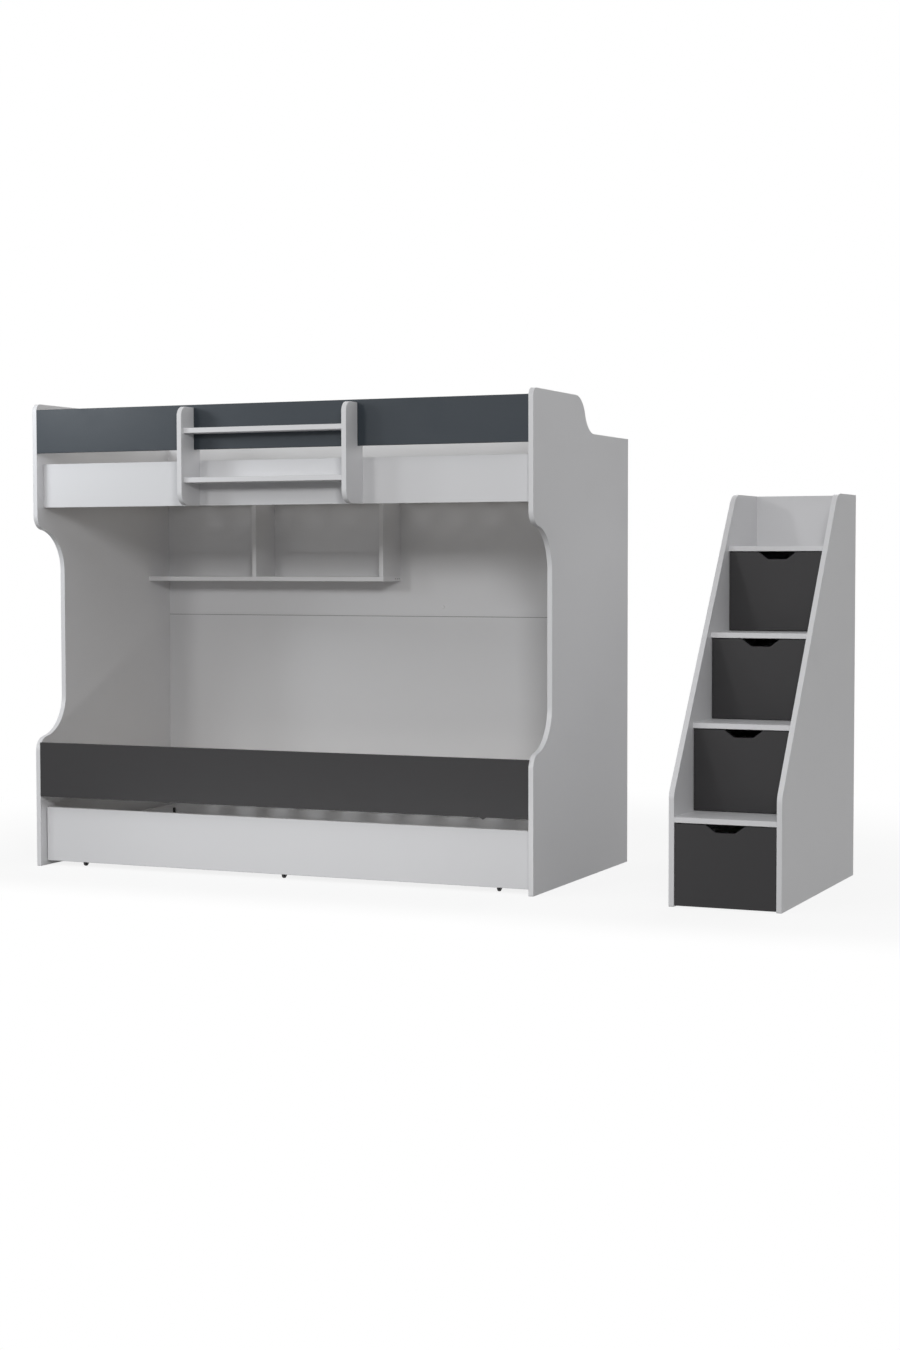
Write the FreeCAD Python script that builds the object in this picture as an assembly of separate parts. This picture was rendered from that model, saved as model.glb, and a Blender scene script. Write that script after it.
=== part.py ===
import FreeCAD, Part
import math
import os

# Bunk bed with a pull-out trundle, and a free-standing storage stair at its right.
# Millimetres. +X runs along the bed from left to right, +Y from front to back, +Z up.
# The origin is on the floor, under the middle of the whole set.

os.makedirs("parts", exist_ok=True)

# ---------------------------------------------------------------- driving sizes
board = 18.0                # thickness of every melamine board
edge = 1.0                  # small bevel along the edge bands
foot_radius = 3.0           # corners of upright boards at the floor
rear_radius = 4.0           # upper rear corners of upright boards

# bed
bed_length = 1956.0
bed_depth = 948.0
bed_height = 1686.0         # front part of the end panels
inset_depth = 173.0         # how far the end panels' waist stands back
waist_start = 31.0          # the lower S-curve leaves the front this far under the rail's top
waist_drop = 29.0           # the upper S-curve leaves the front this far under the upper rail
waist_slope = 9.0           # slope of an S-curve between its two bends, degrees
waist_flat = 2.6            # straight stretch between the two bends
knee_radius = 52.0          # tighter bend of each S-curve, at the front
brow_radius = 28.0          # top front corner
crest_start = 468.0         # where the top edge begins to fall, from the front
crest_run = 50.0            # length of the fall
crest_drop = 126.0          # the rear part and the back end this far under the front part
crest_flat = 2.4            # straight stretch between the fall's two bends

guard_drop = 22.0           # guard's top under the end panels' top
guard_height = 157.0
rail_gap = 38.0             # slot between the guard and the rail under it
upper_rail_height = 158.0
upper_rail_setback = 40.0
lower_rail_bottom = 256.0
lower_rail_height = 198.0

# rack on the front of the guard
rack_left = 656.0           # from the bed's left end
rack_width = 657.0
post_reach = 88.0           # how far the posts stand in front of the guard
post_drop = 10.0            # posts end this far under the guard's top edge
post_top_radius = 35.0
post_bottom_radius = 45.0
rack_shelf_setback = 15.0
rack_upper_rise = 72.0      # upper shelf's top above the guard's lower edge
rack_lower_rise = 96.0      # lower shelf's top above the rail's lower edge

# back and wall shelf
back_joint = 902.0
back_bottom = 20.0
joint_gap = 1.0
wall_shelf_top = 1055.0
wall_shelf_depth = 155.0
wall_shelf_length = 1024.0
divider_left = 462.0        # clear width of the left bay

# slats
bearer_width = 28.0
bearer_height = 40.0
slat_count = 14
slat_width = 65.0
slat_thickness = 18.0
slat_bevel = 3.0
slat_play = 2.0
bearer_lift = 34.0          # bearers' lower face above their rail's lower edge

# trundle
trundle_setback = 37.0
trundle_bottom = 17.0
trundle_height = 197.0
trundle_end_gap = 4.0
trundle_side_inset = 30.0
trundle_side_height = 104.0
trundle_base_underside = 36.0
trundle_base_thickness = 16.0
trundle_rear_gap = 18.0

# casters
wheel_radius = 12.5
wheel_width = 9.0
axle_radius = 2.5
axle_clearance = 0.05
wheel_side_gap = 0.4        # between a wheel and the fork's cheek
fork_sheet = 2.0
fork_lean = 13.0            # the wheel stands this far ahead of the fork's plate
fork_plate_length = 40.0
fork_plate_width = 30.0
fork_top = 20.0             # length of a cheek where it meets the plate
fork_end = 6.5              # half the cheek's width round the axle
fork_end_flat = 0.1         # straight stretch under the cheek's round end
caster_left_inset = 97.0    # left wheels' centres from the base board's left end
caster_right_inset = 80.0   # right wheels' centres from the base board's right end
caster_front_gap = 1.0      # between the front wheels and the trundle front
caster_rear_inset = 34.0    # rear wheels' centres ahead of the rear board

# stairs
stairs_gap = 480.0          # clear floor between the bed and the stairs
stairs_ahead = 30.0         # the stairs stand this far in front of the bed's front edge
stairs_width = 375.0
stairs_front_height = 366.0
stairs_slant_radius = 60.0
stairs_top_radius = 75.0
stairs_back_thickness = 4.0
stairs_back_lift = 3.0      # under the back panel
stairs_back_drop = 1.0      # back panel's top edge under the sides' top
tread_rise = 291.0
tread_going = 200.0
tread_count = 4
top_tread_depth = 350.0
stairs_top_rise = 179.0     # sides and back above the top tread
slant_lead = 37.0           # slanted edge ahead of the top tread's front

# drawers
front_recess = 3.0          # drawer fronts stand this far behind the tread edges
front_side_gap = 2.0
front_top_gap = 2.5
front_bottom_gap = 2.0
floor_gap = 4.0             # under the lowest drawer front
grip_top_width = 131.0
grip_bottom_width = 65.0
grip_depth = 25.0
grip_radius = 17.0
box_gap = 2.5               # between a drawer box and the stairs' side
box_side = 15.0
box_height = 190.0
box_lift = 14.0             # box side above the bottom edge of its front
box_longest = 550.0
box_rear_gap = 25.0         # a box ends at least this far ahead of the back panel
groove_above_box = 70.0     # groove's lower face above the box side's lower edge
groove_lead = 4.0           # groove starts this far ahead of its runner strip
runner_height = 16.0
runner_play = 0.8           # free height of a runner strip in its groove
runner_bite = 7.2           # how far a runner strip enters the groove
runner_end_play = 0.8       # between the strip and the bottom of the groove
runner_setback = 12.0       # runner strips start this far behind the drawer front
bottom_thickness = 4.0
bottom_play = 0.4           # free height of the bottom panel in its slot
bottom_bite = 5.0           # how far the bottom panel enters its slot
bottom_end_play = 0.4
bottom_lift = 12.0          # bottom panel above the box side's lower edge

# ---------------------------------------------------------------- derived places
stairs_depth = (tread_count - 1) * tread_going + top_tread_depth
total_length = bed_length + stairs_gap + stairs_width
total_depth = post_reach + max(bed_depth, stairs_depth - stairs_ahead)
bed_x = -total_length / 2
bed_y = post_reach - total_depth / 2
inner_left = bed_x + board
inner_right = bed_x + bed_length - board
back_face = bed_y + bed_depth - board

rear_height = bed_height - crest_drop
guard_top = bed_height - guard_drop
guard_bottom = guard_top - guard_height
upper_rail_top = guard_bottom - rail_gap
upper_rail_bottom = upper_rail_top - upper_rail_height
upper_rail_y = bed_y + upper_rail_setback
lower_rail_top = lower_rail_bottom + lower_rail_height
rack_upper_shelf = guard_bottom + rack_upper_rise
rack_lower_shelf = upper_rail_bottom + rack_lower_rise
upper_bearer_top = upper_rail_bottom + bearer_lift + bearer_height
lower_bearer_top = lower_rail_bottom + bearer_lift + bearer_height
divider_top = upper_bearer_top - bearer_height

trundle_front_y = bed_y + trundle_setback
trundle_in_y = trundle_front_y + board
trundle_rear_y = back_face - trundle_rear_gap
trundle_left = inner_left + trundle_end_gap
trundle_right = inner_right - trundle_end_gap
box_left = trundle_left + trundle_side_inset
box_right = trundle_right - trundle_side_inset
caster_left = box_left + board + caster_left_inset
caster_right = box_right - board - caster_right_inset
caster_xs = {
    "left": caster_left,
    "middle": (caster_left + caster_right) / 2,
    "right": caster_right,
}
caster_ys = {
    "front": trundle_in_y + caster_front_gap + wheel_radius,
    "rear": trundle_rear_y - board - caster_rear_inset,
}

stairs_x = bed_x + bed_length + stairs_gap
stairs_y = bed_y - stairs_ahead
stairs_inner_left = stairs_x + board
stairs_inner_right = stairs_x + stairs_width - board
stairs_back_face = stairs_y + stairs_depth - stairs_back_thickness
stairs_height = tread_count * tread_rise + stairs_top_rise
front_places = [stairs_y + k * tread_going + front_recess for k in range(tread_count)]
box_lengths = [min(box_longest, stairs_back_face - box_rear_gap - front - board)
               for front in front_places]
groove_depth = runner_bite + runner_end_play
groove_height = runner_height + runner_play
bottom_slot = bottom_thickness + bottom_play
bottom_slot_depth = bottom_bite + bottom_end_play

UP = FreeCAD.Vector(0, 0, 1)
ALONG = FreeCAD.Vector(1, 0, 0)
DEEP = FreeCAD.Vector(0, 1, 0)


# ---------------------------------------------------------------- building blocks
def slab(x0, x1, y0, y1, z0, z1):
    """A square-edged board between two corners."""
    return Part.makeBox(x1 - x0, y1 - y0, z1 - z0, FreeCAD.Vector(x0, y0, z0))


def runs_along(edge_shape, axis):
    """True for a straight edge parallel to the axis."""
    if edge_shape.Curve.TypeId != "Part::GeomLine":
        return False
    first = edge_shape.Vertexes[0].Point
    last = edge_shape.Vertexes[-1].Point
    return (last - first).normalize().cross(axis).Length < 1e-6


def eased(shape, axis, bevel=edge):
    """Takes the sharpness off a board's long edges, the ones parallel to the axis."""
    chosen = [e for e in shape.Edges if runs_along(e, axis)]
    return shape.makeChamfer(bevel, chosen)


def board_along_x(x0, x1, y0, y1, z0, z1):
    """A board whose long edges run along the bed."""
    return eased(slab(x0, x1, y0, y1, z0, z1), ALONG)


def outline(corners):
    """A closed wire through corners (a, b, radius), each bend a true arc tangent to its lines.

    The corners lie in the plane given by a along Y and b along Z.
    """
    count = len(corners)
    starts = []
    ends = []
    mids = []
    for i in range(count):
        a, b, radius = corners[i]
        here = FreeCAD.Vector(0, a, b)
        before = FreeCAD.Vector(0, corners[i - 1][0], corners[i - 1][1])
        after = FreeCAD.Vector(0, corners[(i + 1) % count][0], corners[(i + 1) % count][1])
        coming = (here - before).normalize()
        going = (after - here).normalize()
        if radius <= 0:
            starts.append(here)
            ends.append(here)
            mids.append(None)
            continue
        half_turn = coming.getAngle(going) / 2
        reach = radius * math.tan(half_turn)
        inward = (going - coming).normalize()
        centre = here + inward * (radius / math.cos(half_turn))
        starts.append(here - coming * reach)
        ends.append(here + going * reach)
        mids.append(centre - inward * radius)
    edges = []
    for i in range(count):
        if mids[i] is not None:
            edges.append(Part.Arc(starts[i], mids[i], ends[i]).toShape())
        following = starts[(i + 1) % count]
        if (following - ends[i]).Length > 1e-6:
            edges.append(Part.makeLine(ends[i], following))
    return Part.Wire(edges)


def shaped_board(corners, x0, y0, z0, thickness=board):
    """A board cut to an outline in the Y-Z plane, with a small bevel round both faces."""
    face = Part.Face(outline(corners))
    solid = face.extrude(FreeCAD.Vector(thickness, 0, 0))
    rim = [e for e in solid.Edges if not runs_along(e, ALONG)]
    solid = solid.makeChamfer(edge, rim)
    solid.translate(FreeCAD.Vector(x0, y0, z0))
    return solid


def save(name, shape):
    """Writes one named piece."""
    shape.exportStep("parts/" + name + ".step")


# ---------------------------------------------------------------- end panels
# Front edge: straight, S-curve back to the waist, S-curve forward again, rounded top corner.
# Top edge: level over the front, then a long S-curve down to the lower rear part.
waist_tilt = math.radians(waist_slope)
waist_rise = inset_depth * math.tan(waist_tilt)
half_bend = math.tan((math.pi / 2 - waist_tilt) / 2)
knee_reach = knee_radius * half_bend
sweep_radius = (inset_depth / math.cos(waist_tilt) - waist_flat) / half_bend - knee_radius
waist_low = lower_rail_top - waist_start + knee_reach
waist_high = upper_rail_bottom - waist_drop - knee_reach
crest_end = crest_start + crest_run
crest_turn = math.atan2(crest_drop, crest_run)
crest_reach = (math.hypot(crest_drop, crest_run) - crest_flat) / 2
crest_radius = crest_reach / math.tan(crest_turn / 2)
end_corners = [
    (0, 0, foot_radius),
    (0, waist_low, knee_radius),
    (inset_depth, waist_low + waist_rise, sweep_radius),
    (inset_depth, waist_high - waist_rise, sweep_radius),
    (0, waist_high, knee_radius),
    (0, bed_height, brow_radius),
    (crest_start, bed_height, crest_radius),
    (crest_end, rear_height, crest_radius),
    (bed_depth, rear_height, rear_radius),
    (bed_depth, 0, foot_radius),
]
save("end_panel_left", shaped_board(end_corners, bed_x, bed_y, 0))
save("end_panel_right", shaped_board(end_corners, inner_right, bed_y, 0))

# ---------------------------------------------------------------- front boards
save("guard_board", board_along_x(
    inner_left, inner_right, bed_y, bed_y + board, guard_bottom, guard_top))
save("upper_front_rail", board_along_x(
    inner_left, inner_right, upper_rail_y, upper_rail_y + board, upper_rail_bottom, upper_rail_top))
save("lower_front_rail", board_along_x(
    inner_left, inner_right, bed_y, bed_y + board, lower_rail_bottom, lower_rail_top))

# ---------------------------------------------------------------- back
save("back_board_upper", board_along_x(
    inner_left, inner_right, back_face, back_face + board, back_joint + joint_gap / 2, rear_height))
save("back_board_lower", board_along_x(
    inner_left, inner_right, back_face, back_face + board, back_bottom, back_joint - joint_gap / 2))

# ---------------------------------------------------------------- rack
# Each post reaches back under the guard to the rail, so the guard sits in its notch.
post_corners = [
    (-post_reach, upper_rail_bottom, post_bottom_radius),
    (-post_reach, guard_top - post_drop, post_top_radius),
    (0, guard_top - post_drop, 0),
    (0, guard_bottom, 0),
    (upper_rail_setback, guard_bottom, 0),
    (upper_rail_setback, upper_rail_bottom, 0),
]
rack_x = bed_x + rack_left
rack_end = rack_x + rack_width
save("rack_post_left", shaped_board(post_corners, rack_x, bed_y, 0))
save("rack_post_right", shaped_board(post_corners, rack_end - board, bed_y, 0))
rack_front = bed_y - post_reach + rack_shelf_setback
save("rack_shelf_upper", board_along_x(
    rack_x + board, rack_end - board, rack_front, bed_y,
    rack_upper_shelf - board, rack_upper_shelf))
save("rack_shelf_lower", board_along_x(
    rack_x + board, rack_end - board, rack_front, upper_rail_y,
    rack_lower_shelf - board, rack_lower_shelf))

# ---------------------------------------------------------------- wall shelf
shelf_y = back_face - wall_shelf_depth
save("wall_shelf", board_along_x(
    inner_left, inner_left + wall_shelf_length, shelf_y, back_face,
    wall_shelf_top - board, wall_shelf_top))
for side, divider_x in (
        ("left", inner_left + divider_left),
        ("right", inner_left + wall_shelf_length - board)):
    divider = slab(divider_x, divider_x + board, shelf_y, back_face, wall_shelf_top, divider_top)
    save("wall_divider_" + side, eased(divider, UP))


# ---------------------------------------------------------------- bearers and slats
def bearers(level, front_face):
    """The pair of battens that carry one bunk's slats, front and rear."""
    front = board_along_x(inner_left, inner_right, front_face, front_face + bearer_width,
                          level - bearer_height, level)
    rear = board_along_x(inner_left, inner_right, back_face - bearer_width, back_face,
                         level - bearer_height, level)
    return front, rear


def slat_set(level, front_face):
    """Separate slats laid across the two bearers, evenly spread over the bed's length."""
    pitch = (inner_right - inner_left) / slat_count
    slats = []
    for i in range(slat_count):
        middle = inner_left + pitch * (i + 0.5)
        slat = slab(middle - slat_width / 2, middle + slat_width / 2,
                    front_face + slat_play, back_face - slat_play,
                    level, level + slat_thickness)
        slats.append(eased(slat, DEEP, slat_bevel))
    return Part.makeCompound(slats)


upper_front, upper_rear = bearers(upper_bearer_top, upper_rail_y + board)
save("upper_bearer_front", upper_front)
save("upper_bearer_rear", upper_rear)
save("upper_slats", slat_set(upper_bearer_top, upper_rail_y + board))
lower_front, lower_rear = bearers(lower_bearer_top, bed_y + board)
save("lower_bearer_front", lower_front)
save("lower_bearer_rear", lower_rear)
save("lower_slats", slat_set(lower_bearer_top, bed_y + board))

# ---------------------------------------------------------------- trundle
side_bottom = trundle_base_underside
side_top = side_bottom + trundle_side_height
save("trundle_front", board_along_x(
    trundle_left, trundle_right, trundle_front_y, trundle_in_y,
    trundle_bottom, trundle_bottom + trundle_height))
for side, x0 in (("left", box_left), ("right", box_right - board)):
    plank = slab(x0, x0 + board, trundle_in_y, trundle_rear_y, side_bottom, side_top)
    save("trundle_side_" + side, eased(plank, DEEP))
save("trundle_rear", board_along_x(
    box_left + board, box_right - board, trundle_rear_y - board, trundle_rear_y,
    side_bottom, side_top))
save("trundle_base", slab(
    box_left + board, box_right - board, trundle_in_y, trundle_rear_y - board,
    trundle_base_underside, trundle_base_underside + trundle_base_thickness))


# ---------------------------------------------------------------- casters
def axle_line_cylinder(x, y, radius, length):
    """A cylinder lying along the bed on a wheel's axle line, centred on the place (x, y)."""
    end = FreeCAD.Vector(x - length / 2, y, wheel_radius)
    return Part.makeCylinder(radius, length, end, ALONG)


def wheel(x, y):
    """A small solid wheel, bored for its axle."""
    tyre = axle_line_cylinder(x, y, wheel_radius, wheel_width)
    bore = axle_line_cylinder(x, y, axle_radius + axle_clearance, wheel_width)
    return tyre.cut(bore)


def fork(x, y):
    """A bent steel fork: plate under the base board, two leaning cheeks and the axle."""
    plate_top = trundle_base_underside
    reach = wheel_width / 2 + wheel_side_gap
    plate_middle = y + fork_lean
    shape = slab(x - fork_plate_width / 2, x + fork_plate_width / 2,
                 plate_middle - fork_plate_length / 2, plate_middle + fork_plate_length / 2,
                 plate_top - fork_sheet, plate_top)
    rise = plate_top - wheel_radius
    end_radius = fork_end - fork_end_flat
    cheek_corners = [
        (-fork_end, -fork_end, end_radius),
        (-fork_end, 0, 0),
        (fork_lean - fork_top / 2, rise, 0),
        (fork_lean + fork_top / 2, rise, 0),
        (fork_end, -fork_end, end_radius),
    ]
    face = Part.Face(outline(cheek_corners))
    for offset in (reach, -reach - fork_sheet):
        cheek = face.extrude(FreeCAD.Vector(fork_sheet, 0, 0))
        cheek.translate(FreeCAD.Vector(x + offset, y, wheel_radius))
        shape = shape.fuse(cheek)
    axle = axle_line_cylinder(x, y, axle_radius, 2 * (reach + fork_sheet))
    return shape.fuse(axle).removeSplitter()


forks = []
for row, y in caster_ys.items():
    for place, x in caster_xs.items():
        forks.append(fork(x, y))
        save("wheel_" + row + "_" + place, wheel(x, y))
save("caster_forks", Part.makeCompound(forks))

# ---------------------------------------------------------------- stairs
# The slanted edge passes a little ahead of the top tread's front edge.
slant_run = (tread_count - 1) * tread_going - slant_lead
slant_rise = tread_count * tread_rise - stairs_front_height
slant_top = (stairs_height - stairs_front_height) * slant_run / slant_rise
stairs_corners = [
    (0, 0, foot_radius),
    (0, stairs_front_height, stairs_slant_radius),
    (slant_top, stairs_height, stairs_top_radius),
    (stairs_depth, stairs_height, rear_radius),
    (stairs_depth, 0, foot_radius),
]
save("stairs_side_left", shaped_board(stairs_corners, stairs_x, stairs_y, 0))
save("stairs_side_right", shaped_board(stairs_corners, stairs_inner_right, stairs_y, 0))
save("stairs_back", slab(
    stairs_inner_left, stairs_inner_right, stairs_back_face, stairs_y + stairs_depth,
    stairs_back_lift, stairs_height - stairs_back_drop))
for k in range(tread_count):
    top = (k + 1) * tread_rise
    save("tread_%d" % (k + 1), board_along_x(
        stairs_inner_left, stairs_inner_right, stairs_y + k * tread_going, stairs_back_face,
        top - board, top))


# ---------------------------------------------------------------- drawers
def grip_cut(middle, front_y, top):
    """The rounded trapezoid taken out of a drawer front's top edge."""
    half_top = grip_top_width / 2
    half_bottom = grip_bottom_width / 2
    over = 30.0
    corners = [
        (-half_top - over, over, 0),
        (-half_top - over, 0, 0),
        (-half_top, 0, grip_radius),
        (-half_bottom, -grip_depth, grip_radius),
        (half_bottom, -grip_depth, grip_radius),
        (half_top, 0, grip_radius),
        (half_top + over, 0, 0),
        (half_top + over, over, 0),
    ]
    tool = Part.Face(outline(corners)).extrude(FreeCAD.Vector(3 * board, 0, 0))
    # the outline is drawn in Y and Z, so the tool is turned to cut along Y
    tool.rotate(FreeCAD.Vector(0, 0, 0), UP, -90)
    tool.translate(FreeCAD.Vector(middle, front_y + 2 * board, top))
    return tool


def drawer(number):
    """The five pieces of one drawer, by node name, and its two runner strips."""
    k = number - 1
    name = "drawer_%d_" % number
    floor = k * tread_rise
    bottom = floor + (floor_gap if k == 0 else front_bottom_gap)
    top = (k + 1) * tread_rise - board - front_top_gap
    front_y = front_places[k]
    box_y = front_y + board
    length = box_lengths[k]
    left = stairs_inner_left + box_gap
    right = stairs_inner_right - box_gap
    low = bottom + box_lift
    high = low + box_height
    middle = (stairs_inner_left + stairs_inner_right) / 2

    front = eased(slab(stairs_inner_left + front_side_gap, stairs_inner_right - front_side_gap,
                       front_y, box_y, bottom, top), ALONG)
    front = front.cut(grip_cut(middle, front_y, top))
    slot_low = low + bottom_lift
    slot_left = left + box_side - bottom_slot_depth
    slot_right = right - box_side + bottom_slot_depth
    slot = slab(slot_left, slot_right, box_y - bottom_slot_depth, box_y + length,
                slot_low, slot_low + bottom_slot)
    front = front.cut(slot)

    groove_low = low + groove_above_box
    pieces = {}
    pieces[name + "front"] = front
    for side, x0, groove_x in (
            ("left", left, left),
            ("right", right - box_side, right - groove_depth)):
        plank = eased(slab(x0, x0 + box_side, box_y, box_y + length, low, high), DEEP)
        groove = slab(groove_x, groove_x + groove_depth, box_y + runner_setback - groove_lead,
                      box_y + length, groove_low, groove_low + groove_height)
        pieces[name + "side_" + side] = plank.cut(groove).cut(slot)
    # the back stands on the bottom panel, which slides in under it
    pieces[name + "back"] = board_along_x(
        left + box_side, right - box_side, box_y + length - box_side, box_y + length,
        slot_low + bottom_thickness, high)
    pieces[name + "bottom"] = slab(
        slot_left + bottom_slot_depth - bottom_bite, slot_right - bottom_slot_depth + bottom_bite,
        box_y - bottom_bite, box_y + length, slot_low, slot_low + bottom_thickness)

    strips = []
    strip_low = groove_low + (groove_height - runner_height) / 2
    strip_y = box_y + runner_setback
    for x0, x1 in (
            (stairs_inner_left, stairs_inner_left + box_gap + runner_bite),
            (stairs_inner_right - box_gap - runner_bite, stairs_inner_right)):
        strips.append(eased(slab(x0, x1, strip_y, box_y + length, strip_low,
                                 strip_low + runner_height), DEEP))
    return pieces, strips


runner_strips = []
for number in range(1, tread_count + 1):
    pieces, strips = drawer(number)
    for name, shape in pieces.items():
        save(name, shape)
    runner_strips += strips
save("drawer_runners", Part.makeCompound(runner_strips))
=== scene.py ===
"""Looks of a bunk bed with a pull-out trundle and a storage stair with four drawers.

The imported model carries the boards, slats, wheels and drawers. This script cuts the curved boards
finely, lays the slats, turns the wheels, fits the small fittings that hold the set together, gives
every surface its finish and sets up the studio and the camera.
Metres. +X runs along the bed from left to right, +Y from front to back, +Z up.
"""
import logging
import math
from dataclasses import dataclass
from enum import Enum
from typing import Any, Callable, Iterable, Union

import bmesh
import bpy
from mathutils import Matrix, Vector


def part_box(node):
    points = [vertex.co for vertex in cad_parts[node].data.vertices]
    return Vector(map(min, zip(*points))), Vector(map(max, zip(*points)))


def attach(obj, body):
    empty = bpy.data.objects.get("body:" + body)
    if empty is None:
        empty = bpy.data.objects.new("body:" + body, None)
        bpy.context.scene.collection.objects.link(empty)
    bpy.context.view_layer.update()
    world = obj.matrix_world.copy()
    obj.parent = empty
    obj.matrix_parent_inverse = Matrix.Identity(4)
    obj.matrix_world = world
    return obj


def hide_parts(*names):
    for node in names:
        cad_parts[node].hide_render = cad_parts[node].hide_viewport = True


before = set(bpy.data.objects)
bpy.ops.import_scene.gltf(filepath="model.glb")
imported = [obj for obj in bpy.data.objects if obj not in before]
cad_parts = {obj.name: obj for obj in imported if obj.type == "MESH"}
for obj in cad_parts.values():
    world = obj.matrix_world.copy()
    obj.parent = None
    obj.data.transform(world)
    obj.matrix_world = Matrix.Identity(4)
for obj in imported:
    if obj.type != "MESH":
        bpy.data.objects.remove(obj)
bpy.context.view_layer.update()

LOG = logging.getLogger("bunk_bed")
MM = 0.001

Colour = tuple[float, float, float]
Box = tuple[Vector, Vector]


# ---------------------------------------------------------------- ways a board can lie
class Axis(Enum):
    """A direction of the set: along the bed, from front to back, or up."""

    ALONG = 0
    DEEP = 1
    UP = 2

    @property
    def vector(self) -> Vector:
        """The unit vector of this direction."""
        return Vector([1.0 if i == self.value else 0.0 for i in range(3)])

    @property
    def others(self) -> tuple[int, int]:
        """The indices of the two directions square to this one."""
        first, second = [i for i in range(3) if i != self.value]
        return first, second

    def factors(self, here: float, across: float) -> list[float]:
        """Three factors: one for this direction, one for both directions square to it."""
        return [here if i == self.value else across for i in range(3)]


# ---------------------------------------------------------------- shader maths
class Signal:
    """A number that one socket carries, with Python's arithmetic."""

    def __init__(self, surface: "ShaderTree", socket: bpy.types.NodeSocket) -> None:
        """Keeps the socket and the surface whose tree it is in."""
        self.surface = surface
        self.socket = socket

    def _math(self, operation: str, *terms: "Number", clamp: bool = False) -> "Signal":
        """Adds one Math node.

        Args:
            operation: the node's operation.
            terms: its inputs, in order.
            clamp: whether the result is kept from 0 to 1.

        Returns:
            The node's result.
        """
        settings = {"operation": operation, "use_clamp": clamp}
        node = self.surface.node("ShaderNodeMath", settings, dict(enumerate(terms)))
        return Signal(self.surface, node.outputs[0])

    def __add__(self, other: "Number") -> "Signal":
        """self + other."""
        return self._math("ADD", self, other)

    def __radd__(self, other: "Number") -> "Signal":
        """other + self."""
        return self._math("ADD", other, self)

    def __sub__(self, other: "Number") -> "Signal":
        """self - other."""
        return self._math("SUBTRACT", self, other)

    def __rsub__(self, other: "Number") -> "Signal":
        """other - self."""
        return self._math("SUBTRACT", other, self)

    def __mul__(self, other: "Number") -> "Signal":
        """self * other."""
        return self._math("MULTIPLY", self, other)

    def __truediv__(self, other: "Number") -> "Signal":
        """self / other."""
        return self._math("DIVIDE", self, other)

    def __abs__(self) -> "Signal":
        """The size of the number without its sign."""
        return self._math("ABSOLUTE", self)

    def fraction(self) -> "Signal":
        """What is over a whole number."""
        return self._math("FRACT", self)

    def sine(self) -> "Signal":
        """The sine of the number, in radians."""
        return self._math("SINE", self)

    def root(self) -> "Signal":
        """The square root."""
        return self._math("SQRT", self)

    def limited(self) -> "Signal":
        """The number kept from 0 to 1."""
        return self._math("ADD", self, 0.0, clamp=True)

    def rising(self, low: float, high: float) -> "Signal":
        """A smooth step.

        Args:
            low: the value under which the step is 0.
            high: the value over which the step is 1.

        Returns:
            The step, from 0 to 1.
        """
        node = self.surface.node(
            "ShaderNodeMapRange", {"interpolation_type": "SMOOTHSTEP"},
            {"Value": self, "From Min": low, "From Max": high})
        return Signal(self.surface, node.outputs[0])


Number = Union[Signal, float]


class Tint:
    """A colour that one socket carries."""

    def __init__(self, surface: "ShaderTree", socket: bpy.types.NodeSocket) -> None:
        """Keeps the socket and the surface whose tree it is in."""
        self.surface = surface
        self.socket = socket

    def toward(self, other: "Paint", share: Number) -> "Tint":
        """This colour, turned towards another by a share from 0 to 1."""
        return self.surface.mixed(share, self, other)

    def times(self, factor: Number) -> "Tint":
        """This colour, made lighter or darker by a factor."""
        node = self.surface.node("ShaderNodeVectorMath", {"operation": "SCALE"},
                                 {0: self, "Scale": factor})
        return Tint(self.surface, node.outputs[0])


Paint = Union[Tint, Colour]


class NodeTree:
    """A node tree in the making."""

    def __init__(self, tree: bpy.types.NodeTree) -> None:
        """Keeps the tree that the nodes go into."""
        self.tree = tree

    def node(self, kind: str, settings: dict[str, Any] | None = None,
             inputs: dict[Any, Any] | None = None) -> bpy.types.Node:
        """Adds one node.

        Args:
            kind: the node's type.
            settings: the node's own settings, made before its inputs.
            inputs: values or links, by the socket's name or number.

        Returns:
            The node.
        """
        node = self.tree.nodes.new(kind)
        for name, value in (settings or {}).items():
            setattr(node, name, value)
        for key, value in (inputs or {}).items():
            socket = node.inputs[key]
            if isinstance(value, (Signal, Tint)):
                self.tree.links.new(value.socket, socket)
            elif isinstance(value, bpy.types.NodeSocket):
                self.tree.links.new(value, socket)
            elif socket.type == "RGBA":
                socket.default_value = (*value[:3], 1.0)
            else:
                socket.default_value = value
        return node


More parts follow.
